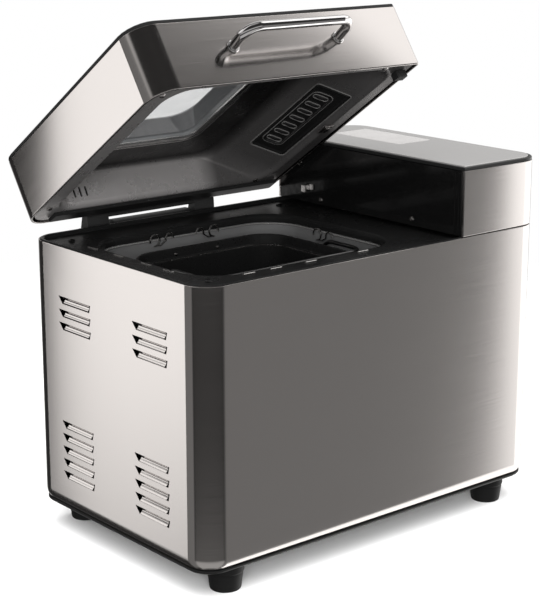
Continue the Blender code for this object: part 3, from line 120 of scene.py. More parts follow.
class Finish:
    """A material in the making: its shader, what feeds it, and the place on the piece."""

    def __init__(self, name, **fixed):
        self.made = bpy.data.materials.new(name)
        self.made.use_nodes = True
        tree = self.made.node_tree
        self.shader = tree.nodes["Principled BSDF"]
        for key, value in fixed.items():
            self.shader.inputs[key.replace("_", " ")].default_value = value
        coordinates = tree.nodes.new("ShaderNodeTexCoord")
        self.place = Link(tree, coordinates.outputs["Object"])

    def feed(self, **links):
        for key, link in links.items():
            link.tree.links.new(link.socket, self.shader.inputs[key.replace("_", " ")])

    def bump(self, height, distance, strength=1.0):
        values = {"Height": height, "Distance": distance, "Strength": strength}
        made = height.node("ShaderNodeBump", None, values)
        self.feed(Normal=height.get(made))


def lighter(tone, by):
    return tuple(min(part * by, 1.0) for part in tone)


def brushed(name, tilt, tone, rough):
    """Stainless sheet brushed round the part, whose own level is tilted by an angle about the X axis."""
    steel = Finish(name, Metallic=1.0, Anisotropic=1.0, Anisotropic_Rotation=0.25)
    levelled = {"Vector": steel.place, "Rotation": (tilt, 0.0, 0.0)}
    along = steel.place.get(steel.place.node("ShaderNodeMapping", None, levelled))
    fine = along.noise((16.0, 16.0, 1500.0), 3.0)
    broad = along.noise((9.0, 9.0, 5.0), 2.0)
    shade = fine * 0.7 + broad * 0.3
    steel.feed(Base_Color=shade.blend(lighter(tone, 0.93), lighter(tone, 1.05)))
    steel.feed(Roughness=fine.ramp((0.3, rough - 0.006), (0.7, rough + 0.010)))
    steel.bump(fine, 0.00002, 0.035)
    return steel


STEEL_TONE = (0.665, 0.635, 0.62)
wrap_steel = brushed("brushed stainless", 0.0, STEEL_TONE, 0.10)


def plan(box, radii):
    """An outline from above: left, right, front, back and four radii, from back right round the left."""
    low, high = box
    return (low[0], high[0], low[1], high[1], *radii)


def at(outline, by, level):
    """A station: the outline drawn in by a distance, at a level."""
    left, right, front, back, *radii = outline
    return (left + by, right - by, front + by, back - by, *(max(r - by, 0.0003) for r in radii), level)


def ring(station, steps=12):
    """A station's points, with each corner as an arc."""
    left, right, front, back, *radii, level = station
    corners = ((right, back, -1, -1), (left, back, 1, -1), (left, front, 1, 1), (right, front, -1, 1))
    points = []
    for k, ((x, y, sx, sy), r) in enumerate(zip(corners, radii)):
        for i in range(steps + 1):
            turn = math.pi / 2 * (k + i / steps)
            points.append((x + sx * r + r * math.cos(turn), y + sy * r + r * math.sin(turn), level))
    return points


def eased(profile, closed=True, steps=4):
    """The stations of a profile of (station, radius) pairs, with each corner rounded by its radius."""
    rounded = []
    for i, (here, radius) in enumerate(profile):
        at_end = not closed and i in (0, len(profile) - 1)
        if at_end or not radius:
            rounded.append(here)
            continue
        ends = []
        for other in (profile[i - 1][0], profile[(i + 1) % len(profile)][0]):
            gap = max(abs(b - a) for a, b in zip(here, other))
            share = min(radius / gap, 0.48)
            ends.append([a + (b - a) * share for a, b in zip(here, other)])
        for j in range(steps + 1):
            t = j / steps
            parts = zip(ends[0], here, ends[1])
            rounded.append(tuple((1 - t) ** 2 * a + 2 * t * (1 - t) * b + t * t * c for a, b, c in parts))
    return rounded


def skin(rings, closed=True):
    """A skin through rings of equally many points, joined end to end or capped."""
    bm = bmesh.new()
    made = [[bm.verts.new(point) for point in points] for points in rings]
    following = made[1:] + made[:1] if closed else made[1:]
    for low, high in zip(made, following):
        for i in range(len(low)):
            j = (i + 1) % len(low)
            bm.faces.new((low[i], low[j], high[j], high[i]))
    if not closed:
        bm.faces.new(made[0])
        bm.faces.new(made[-1])
    return bm


def shell(profile, closed=True):
    return skin([ring(station) for station in eased(profile, closed)], closed)


def gathered(parts):
    """Several solids in one mesh."""
    whole = bmesh.new()
    for part in parts:
        bmesh.ops.recalc_face_normals(part, faces=part.faces[:])
        kept = bpy.data.meshes.new("part")
        part.to_mesh(kept)
        part.free()
        whole.from_mesh(kept)
        bpy.data.meshes.remove(kept)
    return whole


def prism(points, start, along):
    """A flat polygon of points drawn out along a vector."""
    rings = [[tuple(Vector(p) + Vector(start) + Vector(along) * end) for p in points] for end in (0, 1)]
    return skin(rings, closed=False)


def carved(blank, cutter):
    """The blank less the cutter."""
    pair = []
    for bm in (blank, cutter):
        bmesh.ops.recalc_face_normals(bm, faces=bm.faces[:])
        mesh = bpy.data.meshes.new("blank")
        bm.to_mesh(mesh)
        bm.free()
        solid = bpy.data.objects.new("blank", mesh)
        bpy.context.scene.collection.objects.link(solid)
        pair.append(solid)
    cutting = pair[0].modifiers.new("cut", "BOOLEAN")
    cutting.operation = "DIFFERENCE"
    cutting.object = pair[1]
    result = bmesh.new()
    result.from_object(pair[0], bpy.context.evaluated_depsgraph_get())
    for solid in pair:
        bpy.data.objects.remove(solid)
    return result


def settle(made, body, stands_for):
    """Puts a finished piece on its body and hides the nodes it stands for."""
    bpy.context.scene.collection.objects.link(made)
    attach(made, body)
    if stands_for:
        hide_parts(*stands_for)
    return made


def piece(name, bm, finish, body, slot, *stands_for, sharp=38.0, turn=None):
    """A mesh piece, smooth but for its true edges."""
    bmesh.ops.recalc_face_normals(bm, faces=bm.faces[:])
    if turn:
        bm.transform(turn)
    mesh = bpy.data.meshes.new(name)
    bm.to_mesh(mesh)
    bm.free()
    mesh.shade_smooth()
    mesh.set_sharp_from_angle(angle=math.radians(sharp))
    mesh.materials.append(finish.made)
    made = bpy.data.objects.new(name, mesh)
    even = made.modifiers.new("even shading", "WEIGHTED_NORMAL")
    even.keep_sharp = True
    return settle(made, body, stands_for)


body_low, body_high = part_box("body_wrap")
middle_y = (body_low[1] + body_high[1]) / 2
CORNER, SHEET = 0.022, 0.001
ROLL_IN, ROLL_HEIGHT, ROLL_EASE = 0.0022, 0.0045, 0.0042
BODY = plan((body_low, body_high), (CORNER,) * 4)
floor_of_wrap, deck_level = body_low[2], body_high[2]
wrap_profile = [
    (at(BODY, ROLL_IN, floor_of_wrap), 0.0003),
    (at(BODY, 0.0, floor_of_wrap + ROLL_HEIGHT), ROLL_EASE),
    (at(BODY, 0.0, deck_level), 0.0005),
    (at(BODY, SHEET, deck_level), 0.0004),
    (at(BODY, SHEET, floor_of_wrap + ROLL_HEIGHT), ROLL_EASE),
    (at(BODY, ROLL_IN + SHEET, floor_of_wrap), 0.0003),
]

LOUVRE_LENGTH, LOUVRE_HEIGHT, LOUVRE_PITCH, LOUVRE_DEPTH = 0.046, 0.0062, 0.0111, 0.0018
LOUVRE_COLUMNS = (-0.0515, 0.0515)
# A group is its top louvre's height above the wrap's bottom edge, and how many louvres it has.
UPPER_LOUVRES, LOWER_LOUVRES = (0.1805, 3), (0.073, 5)
# The mouth at the rear end is a wide triangle and the one at the front end a narrow slanted slot.
REAR_SLANT, FRONT_SLANT, REAR_MOUTH, FRONT_MOUTH = 0.0056, 0.0016, 0.0072, 0.0036
STRIP_THICKNESS, CUT_START, CUT_LENGTH = 0.0008, 0.003, 0.008


def louvre(x, inward, y, z):
    """The hole in the wall and the dished strip that spans it, less a mouth at each end."""
    half, reach = LOUVRE_HEIGHT / 2, LOUVRE_LENGTH / 2
    corners = ((reach, half), (-reach, half), (-reach + FRONT_SLANT, -half), (reach - REAR_SLANT, -half))
    edge = [(0.0, y + u, z + v) for u, v in corners]
    hole = prism(edge, (x - inward * CUT_START, 0, 0), (inward * CUT_LENGTH, 0, 0))
    rings = []
    for end in (0, 1):
        front, back = [], []
        for j in range(11):
            t = j / 10
            v = half - LOUVRE_HEIGHT * t
            rear = reach - REAR_MOUTH + (REAR_MOUTH - REAR_SLANT) * t
            fore = -reach + FRONT_MOUTH + FRONT_SLANT * t
            dish = LOUVRE_DEPTH * math.sin(math.pi * t) ** 0.8 + 0.0002
            u = fore + (rear - fore) * end
            front.append((x + inward * dish, y + u, z + v))
            back.append((x + inward * (dish + STRIP_THICKNESS), y + u, z + v * 1.15))
        rings.append(front + back[::-1])
    return hole, skin(rings, closed=False)


left_wall, right_wall = (BODY[0], 1, (UPPER_LOUVRES, LOWER_LOUVRES)), (BODY[1], -1, (LOWER_LOUVRES,))
holes, strips = [], []
for wall, inward, groups in (left_wall, right_wall):
    for level, count in groups:
        for column in LOUVRE_COLUMNS:
            for k in range(count):
                z = floor_of_wrap + level - k * LOUVRE_PITCH
                hole, strip = louvre(wall, inward, middle_y + column, z)
                holes.append(hole)
                strips.append(strip)
INLET_FLANGE = 0.0040
inlet_low, inlet_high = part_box("power_inlet")
inlet_x0, inlet_x1 = inlet_low[0] + INLET_FLANGE, inlet_high[0] - INLET_FLANGE
inlet_z0, inlet_z1 = inlet_low[2] + INLET_FLANGE, inlet_high[2] - INLET_FLANGE
mouth = [(inlet_x0, 0, inlet_z0), (inlet_x1, 0, inlet_z0), (inlet_x1, 0, inlet_z1), (inlet_x0, 0, inlet_z1)]
holes.append(prism(mouth, (0, BODY[3] - 0.006, 0), (0, 0.012, 0)))
wrap = carved(shell(wrap_profile), gathered(holes))
piece("body_steel", wrap, wrap_steel, "machine", "brushed_steel", "body_wrap")
piece("body_louvres", gathered(strips), wrap_steel, "machine", "brushed_steel")

# ---------------------------------------------------------------- steel wrap of the raised end
# The same sheet carried up round three sides of the raised end. Towards the lid it has only a narrow
# return at the front and at the back, and the black side wall fits between them.

HEAD_RETURN, HEAD_FOLD = 0.0022, 0.0008
head_low, head_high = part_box("head_wrap")
HEAD = plan((head_low, head_high), (CORNER, HEAD_FOLD, HEAD_FOLD, CORNER))
head_profile = [
    (at(HEAD, 0.0, head_low[2]), 0.0004),
    (at(HEAD, 0.0, head_high[2]), 0.0004),
    (at(HEAD, SHEET, head_high[2]), 0.0003),
    (at(HEAD, SHEET, head_low[2]), 0.0003),
]
y0, y1 = HEAD[2] + HEAD_RETURN, HEAD[3] - HEAD_RETURN
x0, x1 = HEAD[0] - 0.01, HEAD[0] + 0.004
opening = [(x0, y0, 0), (x1, y0, 0), (x1, y1, 0), (x0, y1, 0)]
side_cut = prism(opening, (0, 0, head_low[2] - 0.01), (0, 0, 0.08))
head_steel = carved(shell(head_profile), side_cut)
piece("head_steel", head_steel, wrap_steel, "machine", "brushed_steel", "head_wrap")

# ---------------------------------------------------------------- base tray and feet
# A shallow moulded tray in satin black closes the bottom, a little inside the steel above it. Four
# turned rubber feet, each with a wider collar at its top, are screwed to it.


def moulded(name, tone, rough, grain=1500.0, depth=0.00004, shine=0.4):
    """Black plastic: a fine speck all over, faint clouds, and edges rubbed a little paler."""
    black = Finish(name, Specular_IOR_Level=shine)
    speck = black.place.noise((grain, grain, grain), 2.0)
    cloud = black.place.noise((14.0, 14.0, 14.0), 3.0)
    bends = black.place.node("ShaderNodeNewGeometry")
    rub = black.place.get(bends, "Pointiness").ramp((0.50, 0.0), (0.58, 1.0))
    worn = tuple(min(c * 2.2 + 0.006, 1.0) for c in tone)
    black.feed(Base_Color=(cloud * 0.35 + rub * 0.35).blend(tone, worn))
    black.feed(Roughness=cloud.ramp((0.3, rough - 0.05), (0.7, rough + 0.07)))
    black.bump(speck, depth, 0.5)
    return black


def turned(profile, x, y, closed=False, count=48):
    """A shape turned about an upright line from ((radius, level), easing) pairs."""
    rings = []
    for radius, level in eased(profile, closed):
        turns = (2 * math.pi * i / count for i in range(count))
        rings.append([(x + radius * math.cos(t), y + radius * math.sin(t), level) for t in turns])
    return skin(rings, closed)


satin_black = moulded("satin black moulding", (0.005, 0.005, 0.005), 0.34, shine=0.25)
tray_low, tray_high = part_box("base_tray")
seam = floor_of_wrap - 0.0003
tray_profile = [
    (at(BODY, 0.0030, tray_low[2]), 0.0),
    (at(BODY, 0.0010, tray_low[2] + 0.0015), 0.0008),
    (at(BODY, 0.0010, seam), 0.0005),
    (at(BODY, 0.0035, seam), 0.0),
    (at(BODY, 0.0035, tray_high[2]), 0.0005),
    (at(BODY, 0.0055, tray_high[2]), 0.0005),
    (at(BODY, 0.0055, tray_low[2] + 0.003), 0.0),
]
piece("base_moulding", shell(tray_profile, False), satin_black, "machine", "black_moulding", "base_tray")

rubber = moulded("foot rubber", (0.005, 0.005, 0.005), 0.55, 700.0, 0.00008, 0.2)
for foot in ("foot_front_left", "foot_front_right", "foot_rear_left", "foot_rear_right"):
    low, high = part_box(foot)
    x, y = (low[0] + high[0]) / 2, (low[1] + high[1]) / 2
    radius, top = (high[0] - low[0]) / 2, high[2]
    profile = [
        ((radius - 0.0040, low[2]), 0.0),
        ((radius - 0.0025, low[2]), 0.0015),
        ((radius - 0.0008, top - 0.0090), 0.0008),
        ((radius - 0.0008, top - 0.0070), 0.0004),
        ((radius, top - 0.0060), 0.0008),
        ((radius, top), 0.0),
    ]
    piece(foot + "_rubber", turned(profile, x, y), rubber, "machine", "rubber", foot)

# ---------------------------------------------------------------- deck
# A black moulded frame sits inside the steel: a round-edged rim, a sunk land and the oven's mouth.
# Short steel tabs of the oven come up through it and are bent over, and screws hold it at the corners.


def boxed(x0, x1, y0, y1, z0, z1, ease=0.0004, corner=0.0006):
    """A block with eased edges."""
    outline = (x0, x1, y0, y1, corner, corner, corner, corner)
    steps = ((ease, z0), (0.0, z0 + ease), (0.0, z1 - ease), (ease, z1))
    return skin([ring(at(outline, by, level), 3) for by, level in steps], closed=False)


def bright(name, tone, rough, metallic=1.0):
    """Bare metal with a cloudy scuff."""
    metal = Finish(name, Metallic=metallic)
    scuff = metal.place.noise((90.0, 90.0, 90.0), 4.0)
    metal.feed(Base_Color=scuff.blend(lighter(tone, 0.92), tone))
    metal.feed(Roughness=scuff.ramp((0.4, rough), (0.8, rough + 0.06)))
    return metal


CROSS_REACH, CROSS_HALF, CROSS_FLOOR, CROSS_TOP = 0.0014, 0.0004, 0.0007, 0.003


def screw(x, y, z, up, radius):
    """A domed head with a cross in it, standing on a level face or hanging from one."""
    dome = [((radius, 0.0), 0.0), ((radius, 0.0006), 0.0004)]
    dome += [((radius * 0.55, 0.0014), 0.0006), ((0.0002, 0.0015), 0.0)]
    made = turned(dome, 0.0, 0.0, count=24)
    for u, v in ((CROSS_REACH, CROSS_HALF), (CROSS_HALF, CROSS_REACH)):
        made = carved(made, boxed(-u, u, -v, v, CROSS_FLOOR, CROSS_TOP, 0.00005, 0.0001))
    facing = Matrix() if up else Matrix.Rotation(math.pi, 4, "X")
    made.transform(Matrix.Translation((x, y, z)) @ facing)
    return made


deck_black = moulded("black deck moulding", (0.004, 0.004, 0.004), 0.27, 1900.0, shine=0.12)
OVEN_FLANGE, MOUTH_CORNER, LAND_DROP, RIM_RISE, DECK_SKIRT = 0.006, 0.036, 0.0025, 0.0007, 0.012
oven_low, oven_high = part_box("oven_chamber")
MOUTH = at(plan((oven_low, oven_high), (MOUTH_CORNER + OVEN_FLANGE,) * 4), OVEN_FLANGE, 0.0)[:8]
oven_top = oven_high[2]
land = deck_level - LAND_DROP
rim = deck_level + RIM_RISE
deck_profile = [
    (at(BODY, 0.0013, deck_level - DECK_SKIRT), 0.0),
    (at(BODY, 0.0013, rim), 0.0008),
    (at(BODY, 0.0044, rim), 0.0011),
    (at(BODY, 0.0058, land), 0.0012),
    (at(MOUTH, -0.0022, land - 0.0003), 0.0016),
    (at(MOUTH, 0.0, land - 0.0026), 0.0016),
    (at(MOUTH, 0.0, oven_top + 0.0003), 0.0003),
    (at(MOUTH, -0.0020, oven_top + 0.0003), 0.0),
    (at(MOUTH, -0.0020, land - 0.0032), 0.0),
    (at(BODY, 0.0073, land - 0.0032), 0.0),
    (at(BODY, 0.0033, deck_level - DECK_SKIRT), 0.0),
]

# The lid stands open. Its pieces are drawn shut and then turned about the hinge.
lid_joint = next(joint for joint in frame["joints"] if joint["name"] == "lid_hinge")
pivot, lid_axis = Vector(lid_joint["pos_m"]), Vector(lid_joint["axis"])
lid_tilt = math.radians(-lid_joint["range_deg"][0])
lid_opening = Matrix.Rotation(lid_tilt, 4, lid_axis)
OPENED = Matrix.Translation(pivot) @ lid_opening @ Matrix.Translation(-pivot)


def shut_box(node):
    """The lowest and highest corners of one of the lid's nodes with the lid shut."""
    shutting = OPENED.inverted()
    corners = [shutting @ vertex.co for vertex in nodes[node].data.vertices]
    return [Vector([pick(corner[k] for corner in corners) for k in range(3)]) for pick in (min, max)]


PEG_ROOM = 0.0015
peg_low, peg_high = shut_box("lid_peg")
x0, x1 = peg_low[0] - PEG_ROOM, peg_high[0] + PEG_ROOM
y0, y1 = peg_low[1] - PEG_ROOM, peg_high[1] + PEG_ROOM
deck = carved(shell(deck_profile), boxed(x0, x1, y0, y1, 0.2, 0.3))
piece("deck_moulding", deck, deck_black, "machine", "black_moulding", "deck")

tab_steel = bright("tab steel", (0.50, 0.49, 0.48), 0.20)
TAB_INSET, TAB_HALF = 0.0062, 0.0010
LEFT_TABS, LEFT_REACH = (0.058, 0.021, -0.016, -0.045), 0.0065
FRONT_TABS, FRONT_REACH = (-0.119, -0.092, -0.056, 0.000), 0.0060
z0, z1 = land - 0.001, land + 0.0006
tabs = []
for along in LEFT_TABS:
    x, y = MOUTH[0] - TAB_INSET, middle_y + along
    tabs.append(boxed(x - TAB_HALF, x + TAB_HALF, y - LEFT_REACH, y + LEFT_REACH, z0, z1))
for x in FRONT_TABS:
    y = MOUTH[2] - TAB_INSET
    tabs.append(boxed(x - FRONT_REACH, x + FRONT_REACH, y - TAB_HALF, y + TAB_HALF, z0, z1))
piece("oven_tabs", gathered(tabs), tab_steel, "machine", "coated_sheet")
SCREW_INSET = 0.026
left_x = BODY[0] + SCREW_INSET
screw_places = ((left_x, BODY[2] + SCREW_INSET), (left_x, BODY[3] - SCREW_INSET), (0.070, BODY[3] - 0.022))
deck_screws = [screw(x, y, land, True, 0.0028) for x, y in screw_places]
dark_steel = bright("blackened screws", (0.10, 0.10, 0.10), 0.30)
piece("deck_screws", gathered(deck_screws), dark_steel, "machine", "black_moulding")

# ---------------------------------------------------------------- oven chamber
# Deep-drawn steel box with a dark satin coating. It hangs from the deck by its flange, its top edge is
# beaded, and the drive shaft comes up through a round hole in its floor. The bead is toned pale, a painted
# highlight along that edge.


def coated(name, tone, rough, metal=0.85):
    """Sheet with a satin coat, clouded and faintly streaked by the drawing."""
    sheet = Finish(name, Metallic=metal)
    cloud = sheet.place.noise((26.0, 26.0, 26.0), 3.0)
    drawn = sheet.place.noise((60.0, 8.0, 500.0), 3.0)
    mixed = cloud * 0.55 + drawn * 0.45
    sheet.feed(Base_Color=mixed.blend(lighter(tone, 0.82), lighter(tone, 1.16)))
    sheet.feed(Roughness=mixed.ramp((0.3, rough - 0.05), (0.7, rough + 0.08)))
    sheet.bump(drawn, 0.00005, 0.5)
    return sheet


def hoop(outline, by, level, radius):
    """A round bead that follows an outline."""
    rings = []
    sides = 10
    for i in range(sides):
        turn = 2 * math.pi * i / sides
        rings.append(ring(at(outline, by + radius * math.cos(turn), level + radius * math.sin(turn))))
    return skin(rings)


oven_sheet = coated("oven sheet", (0.20, 0.20, 0.20), 0.33, 0.6)
OVEN_SHEET = 0.0009
oven_floor = oven_low[2] + OVEN_SHEET
oven_profile = [
    (at(MOUTH, 0.010, oven_low[2]), 0.0),
    (at(MOUTH, 0.002, oven_low[2] + 0.003), 0.004),
    (at(MOUTH, -OVEN_SHEET, oven_floor + 0.010), 0.006),
    (at(MOUTH, -OVEN_SHEET, oven_top - OVEN_SHEET), 0.0),
    (at(MOUTH, -OVEN_FLANGE, oven_top - OVEN_SHEET), 0.0),
    (at(MOUTH, -OVEN_FLANGE, oven_top), 0.0),
    (at(MOUTH, 0.0, oven_top), 0.0010),
    (at(MOUTH, 0.0, oven_floor + 0.010), 0.006),
    (at(MOUTH, 0.002 + OVEN_SHEET, oven_floor + 0.003), 0.004),
    (at(MOUTH, 0.010, oven_floor), 0.0),
]
shaft_low, shaft_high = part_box("drive_shaft")
pan_x, pan_y = (shaft_low[0] + shaft_high[0]) / 2, (shaft_low[1] + shaft_high[1]) / 2
shaft_hole = turned([((0.010, oven_low[2] - 0.01), 0.0), ((0.010, oven_floor + 0.01), 0.0)], pan_x, pan_y)
oven = carved(shell(oven_profile, False), shaft_hole)
piece("oven_box", oven, oven_sheet, "machine", "coated_sheet", "oven_chamber")
# Painted highlight: the bead's pale tone stands for light caught along the oven's top edge.
bead_highlight_sheet = coated("bead painted highlight", (0.55, 0.54, 0.53), 0.22)
piece("oven_bead", hoop(MOUTH, 0.0006, oven_top - 0.0008, 0.0007), bead_highlight_sheet, "machine", "coated_sheet")

# ---------------------------------------------------------------- pan clips
# Three clips of bright spring wire on the rear and right walls steady the pan. Each is one wire bent
# into a ring, a short bar and an arch, and is set close against the oven wall.

CLIP_RADIUS, RING_RADIUS, ARCH_RADIUS, ARCH_MIDDLE = 0.0008, 0.0050, 0.0042, 0.0155
clip_wire = bright("clip wire", (0.60, 0.59, 0.58), 0.20)


def wire(name, points, radius, finish, body, slot, *stands_for, smooth=6):
    """Round bar bent through the points."""
    curve = bpy.data.curves.new(name, "CURVE")
    curve.dimensions = "3D"
    curve.bevel_depth = radius
    curve.bevel_resolution = smooth
    curve.use_fill_caps = True
    spline = curve.splines.new("POLY")
    spline.points.add(len(points) - 1)
    for point, place in zip(spline.points, points):
        point.co = (*place, 1.0)
    curve.materials.append(finish.made)
    return settle(bpy.data.objects.new(name, curve), body, stands_for)


def clip_path(sign):
    """The clip's bends in its own plane, the ring first."""
    turns = [math.radians(-20 + 300 * i / 24) for i in range(25)]
    points = [(-sign * RING_RADIUS * math.cos(turn), RING_RADIUS * math.sin(turn)) for turn in turns]
    points.append((sign * 0.0065, -0.0048))
    for i in range(13):
        turn = math.radians(200 - 200 * i / 12)
        points.append((sign * (ARCH_MIDDLE + ARCH_RADIUS * math.cos(turn)), ARCH_RADIUS * math.sin(turn)))
    return points


for node, sign in (("pan_clip_left", 1), ("pan_clip_right", -1), ("pan_clip_side", -1)):
    low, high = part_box(node)
    level = low[2] + 0.0053
    if node == "pan_clip_side":
        x = high[0] - 0.0011
        start = low[1] + 0.0208
        path = [(x, start + u, level + v) for u, v in clip_path(sign)]
    else:
        y = high[1] - 0.0011
        start = low[0] + 0.0061 if sign > 0 else high[0] - 0.0061
        path = [(start + u, y, level + v) for u, v in clip_path(sign)]
    wire(node + "_wire", path, CLIP_RADIUS, clip_wire, "machine", "chrome", node)

# ---------------------------------------------------------------- bread pan, paddle and handle
# The pan is cast aluminium under a black non-stick coating, and its round foot stands in the socket
# ring. Bright metal beads on its rolled rim and inner ledge are painted highlights, and a wire handle hangs
# from two lugs.


def non_stick(name, tone, rough):
    """Sprayed coating with the slight peel of its surface."""
    coating = Finish(name, Metallic=0.15)
    peel = coating.place.noise((420.0, 420.0, 420.0), 2.0)
    cloud = coating.place.noise((20.0, 20.0, 20.0), 2.0)
    coating.feed(Base_Color=cloud.blend(tone, lighter(tone, 1.6)))
    coating.feed(Roughness=peel.ramp((0.3, rough - 0.04), (0.7, rough + 0.08)))
    coating.bump(peel, 0.00012, 0.5)
    return coating


pan_black = non_stick("pan non-stick", (0.005, 0.005, 0.005), 0.30)
pan_low, pan_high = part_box("bread_pan")
PAN_CORNER, PAN_FOOT_HEIGHT, PAN_FOOT_RADIUS = 0.028, 0.016, 0.034
PAN = plan((pan_low, pan_high), (PAN_CORNER,) * 4)
pan_top, pan_bottom = pan_high[2], pan_low[2] + PAN_FOOT_HEIGHT
pan_profile = [
    (at(PAN, 0.015, pan_bottom), 0.0),
    (at(PAN, 0.009, pan_bottom + 0.006), 0.006),
    (at(PAN, 0.003, pan_top - 0.010), 0.002),
    (at(PAN, 0.0025, pan_top - 0.003), 0.0008),
    (at(PAN, 0.0, pan_top - 0.003), 0.0008),
    (at(PAN, 0.0, pan_top), 0.0012),
    (at(PAN, 0.0025, pan_top), 0.0010),
    (at(PAN, 0.0036, pan_top - 0.008), 0.0010),
    (at(PAN, 0.0056, pan_top - 0.0092), 0.0010),
    (at(PAN, 0.0105, pan_bottom + 0.008), 0.006),
    (at(PAN, 0.0165, pan_bottom + 0.003), 0.0),
]
foot = [((PAN_FOOT_RADIUS - 0.003, pan_low[2]), 0.0003), ((PAN_FOOT_RADIUS, pan_low[2]), 0.0005)]
foot += [((PAN_FOOT_RADIUS, pan_bottom + 0.001), 0.0), ((PAN_FOOT_RADIUS - 0.003, pan_bottom + 0.001), 0.0)]
lugs = []
for x0, x1 in ((PAN[0] + 0.0004, PAN[0] + 0.0030), (PAN[1] - 0.0030, PAN[1] - 0.0004)):
    lugs.append(boxed(x0, x1, pan_y - 0.008, pan_y + 0.008, pan_top - 0.017, pan_top - 0.0025))
pan = gathered([shell(pan_profile, False), turned(foot, pan_x, pan_y, True), *lugs])
piece("pan_casting", pan, pan_black, "pan", "non_stick", "bread_pan")
bright_metal_and_highlight = bright("bright metal and painted highlight", (0.62, 0.60, 0.59), 0.24)
# Painted highlights: bright metal beads along the pan's rim and inner ledge. The same bright metal is the
# real finish of screws, rivets, pins and plates.
piece("pan_rim_roll", hoop(PAN, 0.0012, pan_top - 0.0006, 0.0007), bright_metal_and_highlight, "pan", "aluminium")
piece("pan_ledge_line", hoop(PAN, 0.0050, pan_top - 0.0090, 0.0004), bright_metal_and_highlight, "pan", "aluminium")
RIVET = (((0.0016, 0.0), 0.0), ((0.0012, 0.0008), 0.0004), ((0.0002, 0.0010), 0.0))
FACING_FRONT = Matrix.Rotation(math.pi / 2, 4, "X")
rivets = []
for x in (pan_x - 0.027, pan_x + 0.018):
    rivet = turned(RIVET, 0, 0, count=16)
    rivet.transform(Matrix.Translation((x, PAN[3] - 0.0034, pan_top - 0.0055)) @ FACING_FRONT)
    rivets.append(rivet)
piece("pan_rivets", gathered(rivets), bright_metal_and_highlight, "pan", "aluminium")


def softened(node, name, finish, body, slot, width=0.0004, sharp=38.0):
    """A node's own shape with its edges eased, for small parts whose shape is already right."""
    bm = bmesh.new()
    bm.from_mesh(nodes[node].data)
    bmesh.ops.remove_doubles(bm, verts=bm.verts[:], dist=0.000005)
    bmesh.ops.dissolve_limit(bm, angle_limit=math.radians(1.0), verts=bm.verts[:], edges=bm.edges[:])
    made = piece(name, bm, finish, body, slot, node, sharp=sharp)
    if width:
        ease = made.modifiers.new("eased edges", "BEVEL")
        ease.width = width
        ease.segments = 2
        ease.angle_limit = math.radians(sharp)
        ease.harden_normals = True
        made.modifiers.move(1, 0)
    return made


dark_wire = bright("dark wire", (0.16, 0.16, 0.16), 0.30)
softened("pan_handle", "pan_bail", dark_wire, "bail", "chrome", 0.0, 60.0)
softened("kneading_paddle", "paddle_casting", pan_black, "kneader", "non_stick", 0.0006)

# ---------------------------------------------------------------- raised end: side wall, frame, touch panel
# A gloss black wall faces the lid, with two upright ribs, three screws and two small plates. A black
# frame on top carries a metallic-grey plate with a display window.


def glossy(name, tone, rough):
    """High-gloss plastic with a slow ripple and a little dust."""
    gloss = Finish(name, Specular_IOR_Level=0.5)
    ripple = gloss.place.noise((18.0, 18.0, 18.0), 1.0)
    dust = gloss.place.noise((260.0, 260.0, 260.0), 2.0)
    gloss.feed(Base_Color=(dust * 0.5).blend(tone, tuple(c + 0.005 for c in tone)))
    gloss.feed(Roughness=dust.ramp((0.35, rough), (0.75, rough + 0.07)))
    gloss.bump(ripple, 0.0004, 0.25)
    return gloss


def lacquered(name, tone, coat):
    """Metal-flake paint under clear lacquer."""
    plate = Finish(name, Metallic=0.35, Coat_Roughness=0.04, Coat_Weight=coat)
    flake = plate.place.noise((2600.0, 2600.0, 2600.0), 2.0)
    cloud = plate.place.noise((11.0, 11.0, 11.0), 2.0)
    mixed = flake * 0.6 + cloud * 0.4
    plate.feed(Base_Color=mixed.blend(lighter(tone, 0.90), lighter(tone, 1.08)))
    plate.feed(Roughness=flake.ramp((0.3, 0.22), (0.7, 0.36)))
    return plate


def wear(finish, *members):
    """Gives the finish to nodes whose own shape is kept."""
    for member in members:
        nodes[member].data.materials.clear()
        nodes[member].data.materials.append(finish.made)


gloss_black = glossy("gloss black", (0.002, 0.002, 0.002), 0.07)
softened("head_side_panel", "head_side_wall", gloss_black, "machine", "gloss_black", 0.0008)
wear(gloss_black, "display_module")
side_low, side_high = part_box("head_side_panel")
RIB_HALF, WALL_BITE = 0.0007, 0.001
wall_x, z0, z1 = side_low[0], side_low[2] + 0.002, side_high[2] - 0.002
posts = []
for y in (side_low[1] + 0.0035, side_low[1] + 0.0080):
    posts.append(boxed(wall_x - RIB_HALF, wall_x + WALL_BITE, y - RIB_HALF, y + RIB_HALF, z0, z1))
piece("head_side_ribs", gathered(posts), gloss_black, "machine", "gloss_black")

fixings = []
OUTWARD = Matrix.Rotation(-math.pi / 2, 4, "Y")
for y, z in ((-0.058, 0.2572), (0.059, 0.2561), (0.088, 0.2871)):
    head = screw(0.0, 0.0, 0.0, True, 0.0027)
    head.transform(Matrix.Translation((wall_x, middle_y + y, z)) @ OUTWARD)
    fixings.append(head)
piece("side_wall_screws", gathered(fixings), bright_metal_and_highlight, "machine", "chrome")
stops = []
for along, z, size in ((0.082, 0.2635, 0.0034), (0.071, 0.2665, 0.0028)):
    y = middle_y + along
    stops.append(boxed(wall_x - 0.0012, wall_x + WALL_BITE, y - size, y + size, z - size, z + size))
softened("release_pin", "release_pin_metal", bright_metal_and_highlight, "pin", "chrome", 0.0002)
piece("flap_stop_plates", gathered(stops), bright_metal_and_highlight, "machine", "chrome")

softened("head_frame", "head_frame_moulding", satin_black, "machine", "black_moulding", 0.0005)
touch_grey = lacquered("touch panel grey", (0.27, 0.265, 0.262), 0.8)
softened("control_panel", "touch_plate", touch_grey, "machine", "panel_grey", 0.0003)


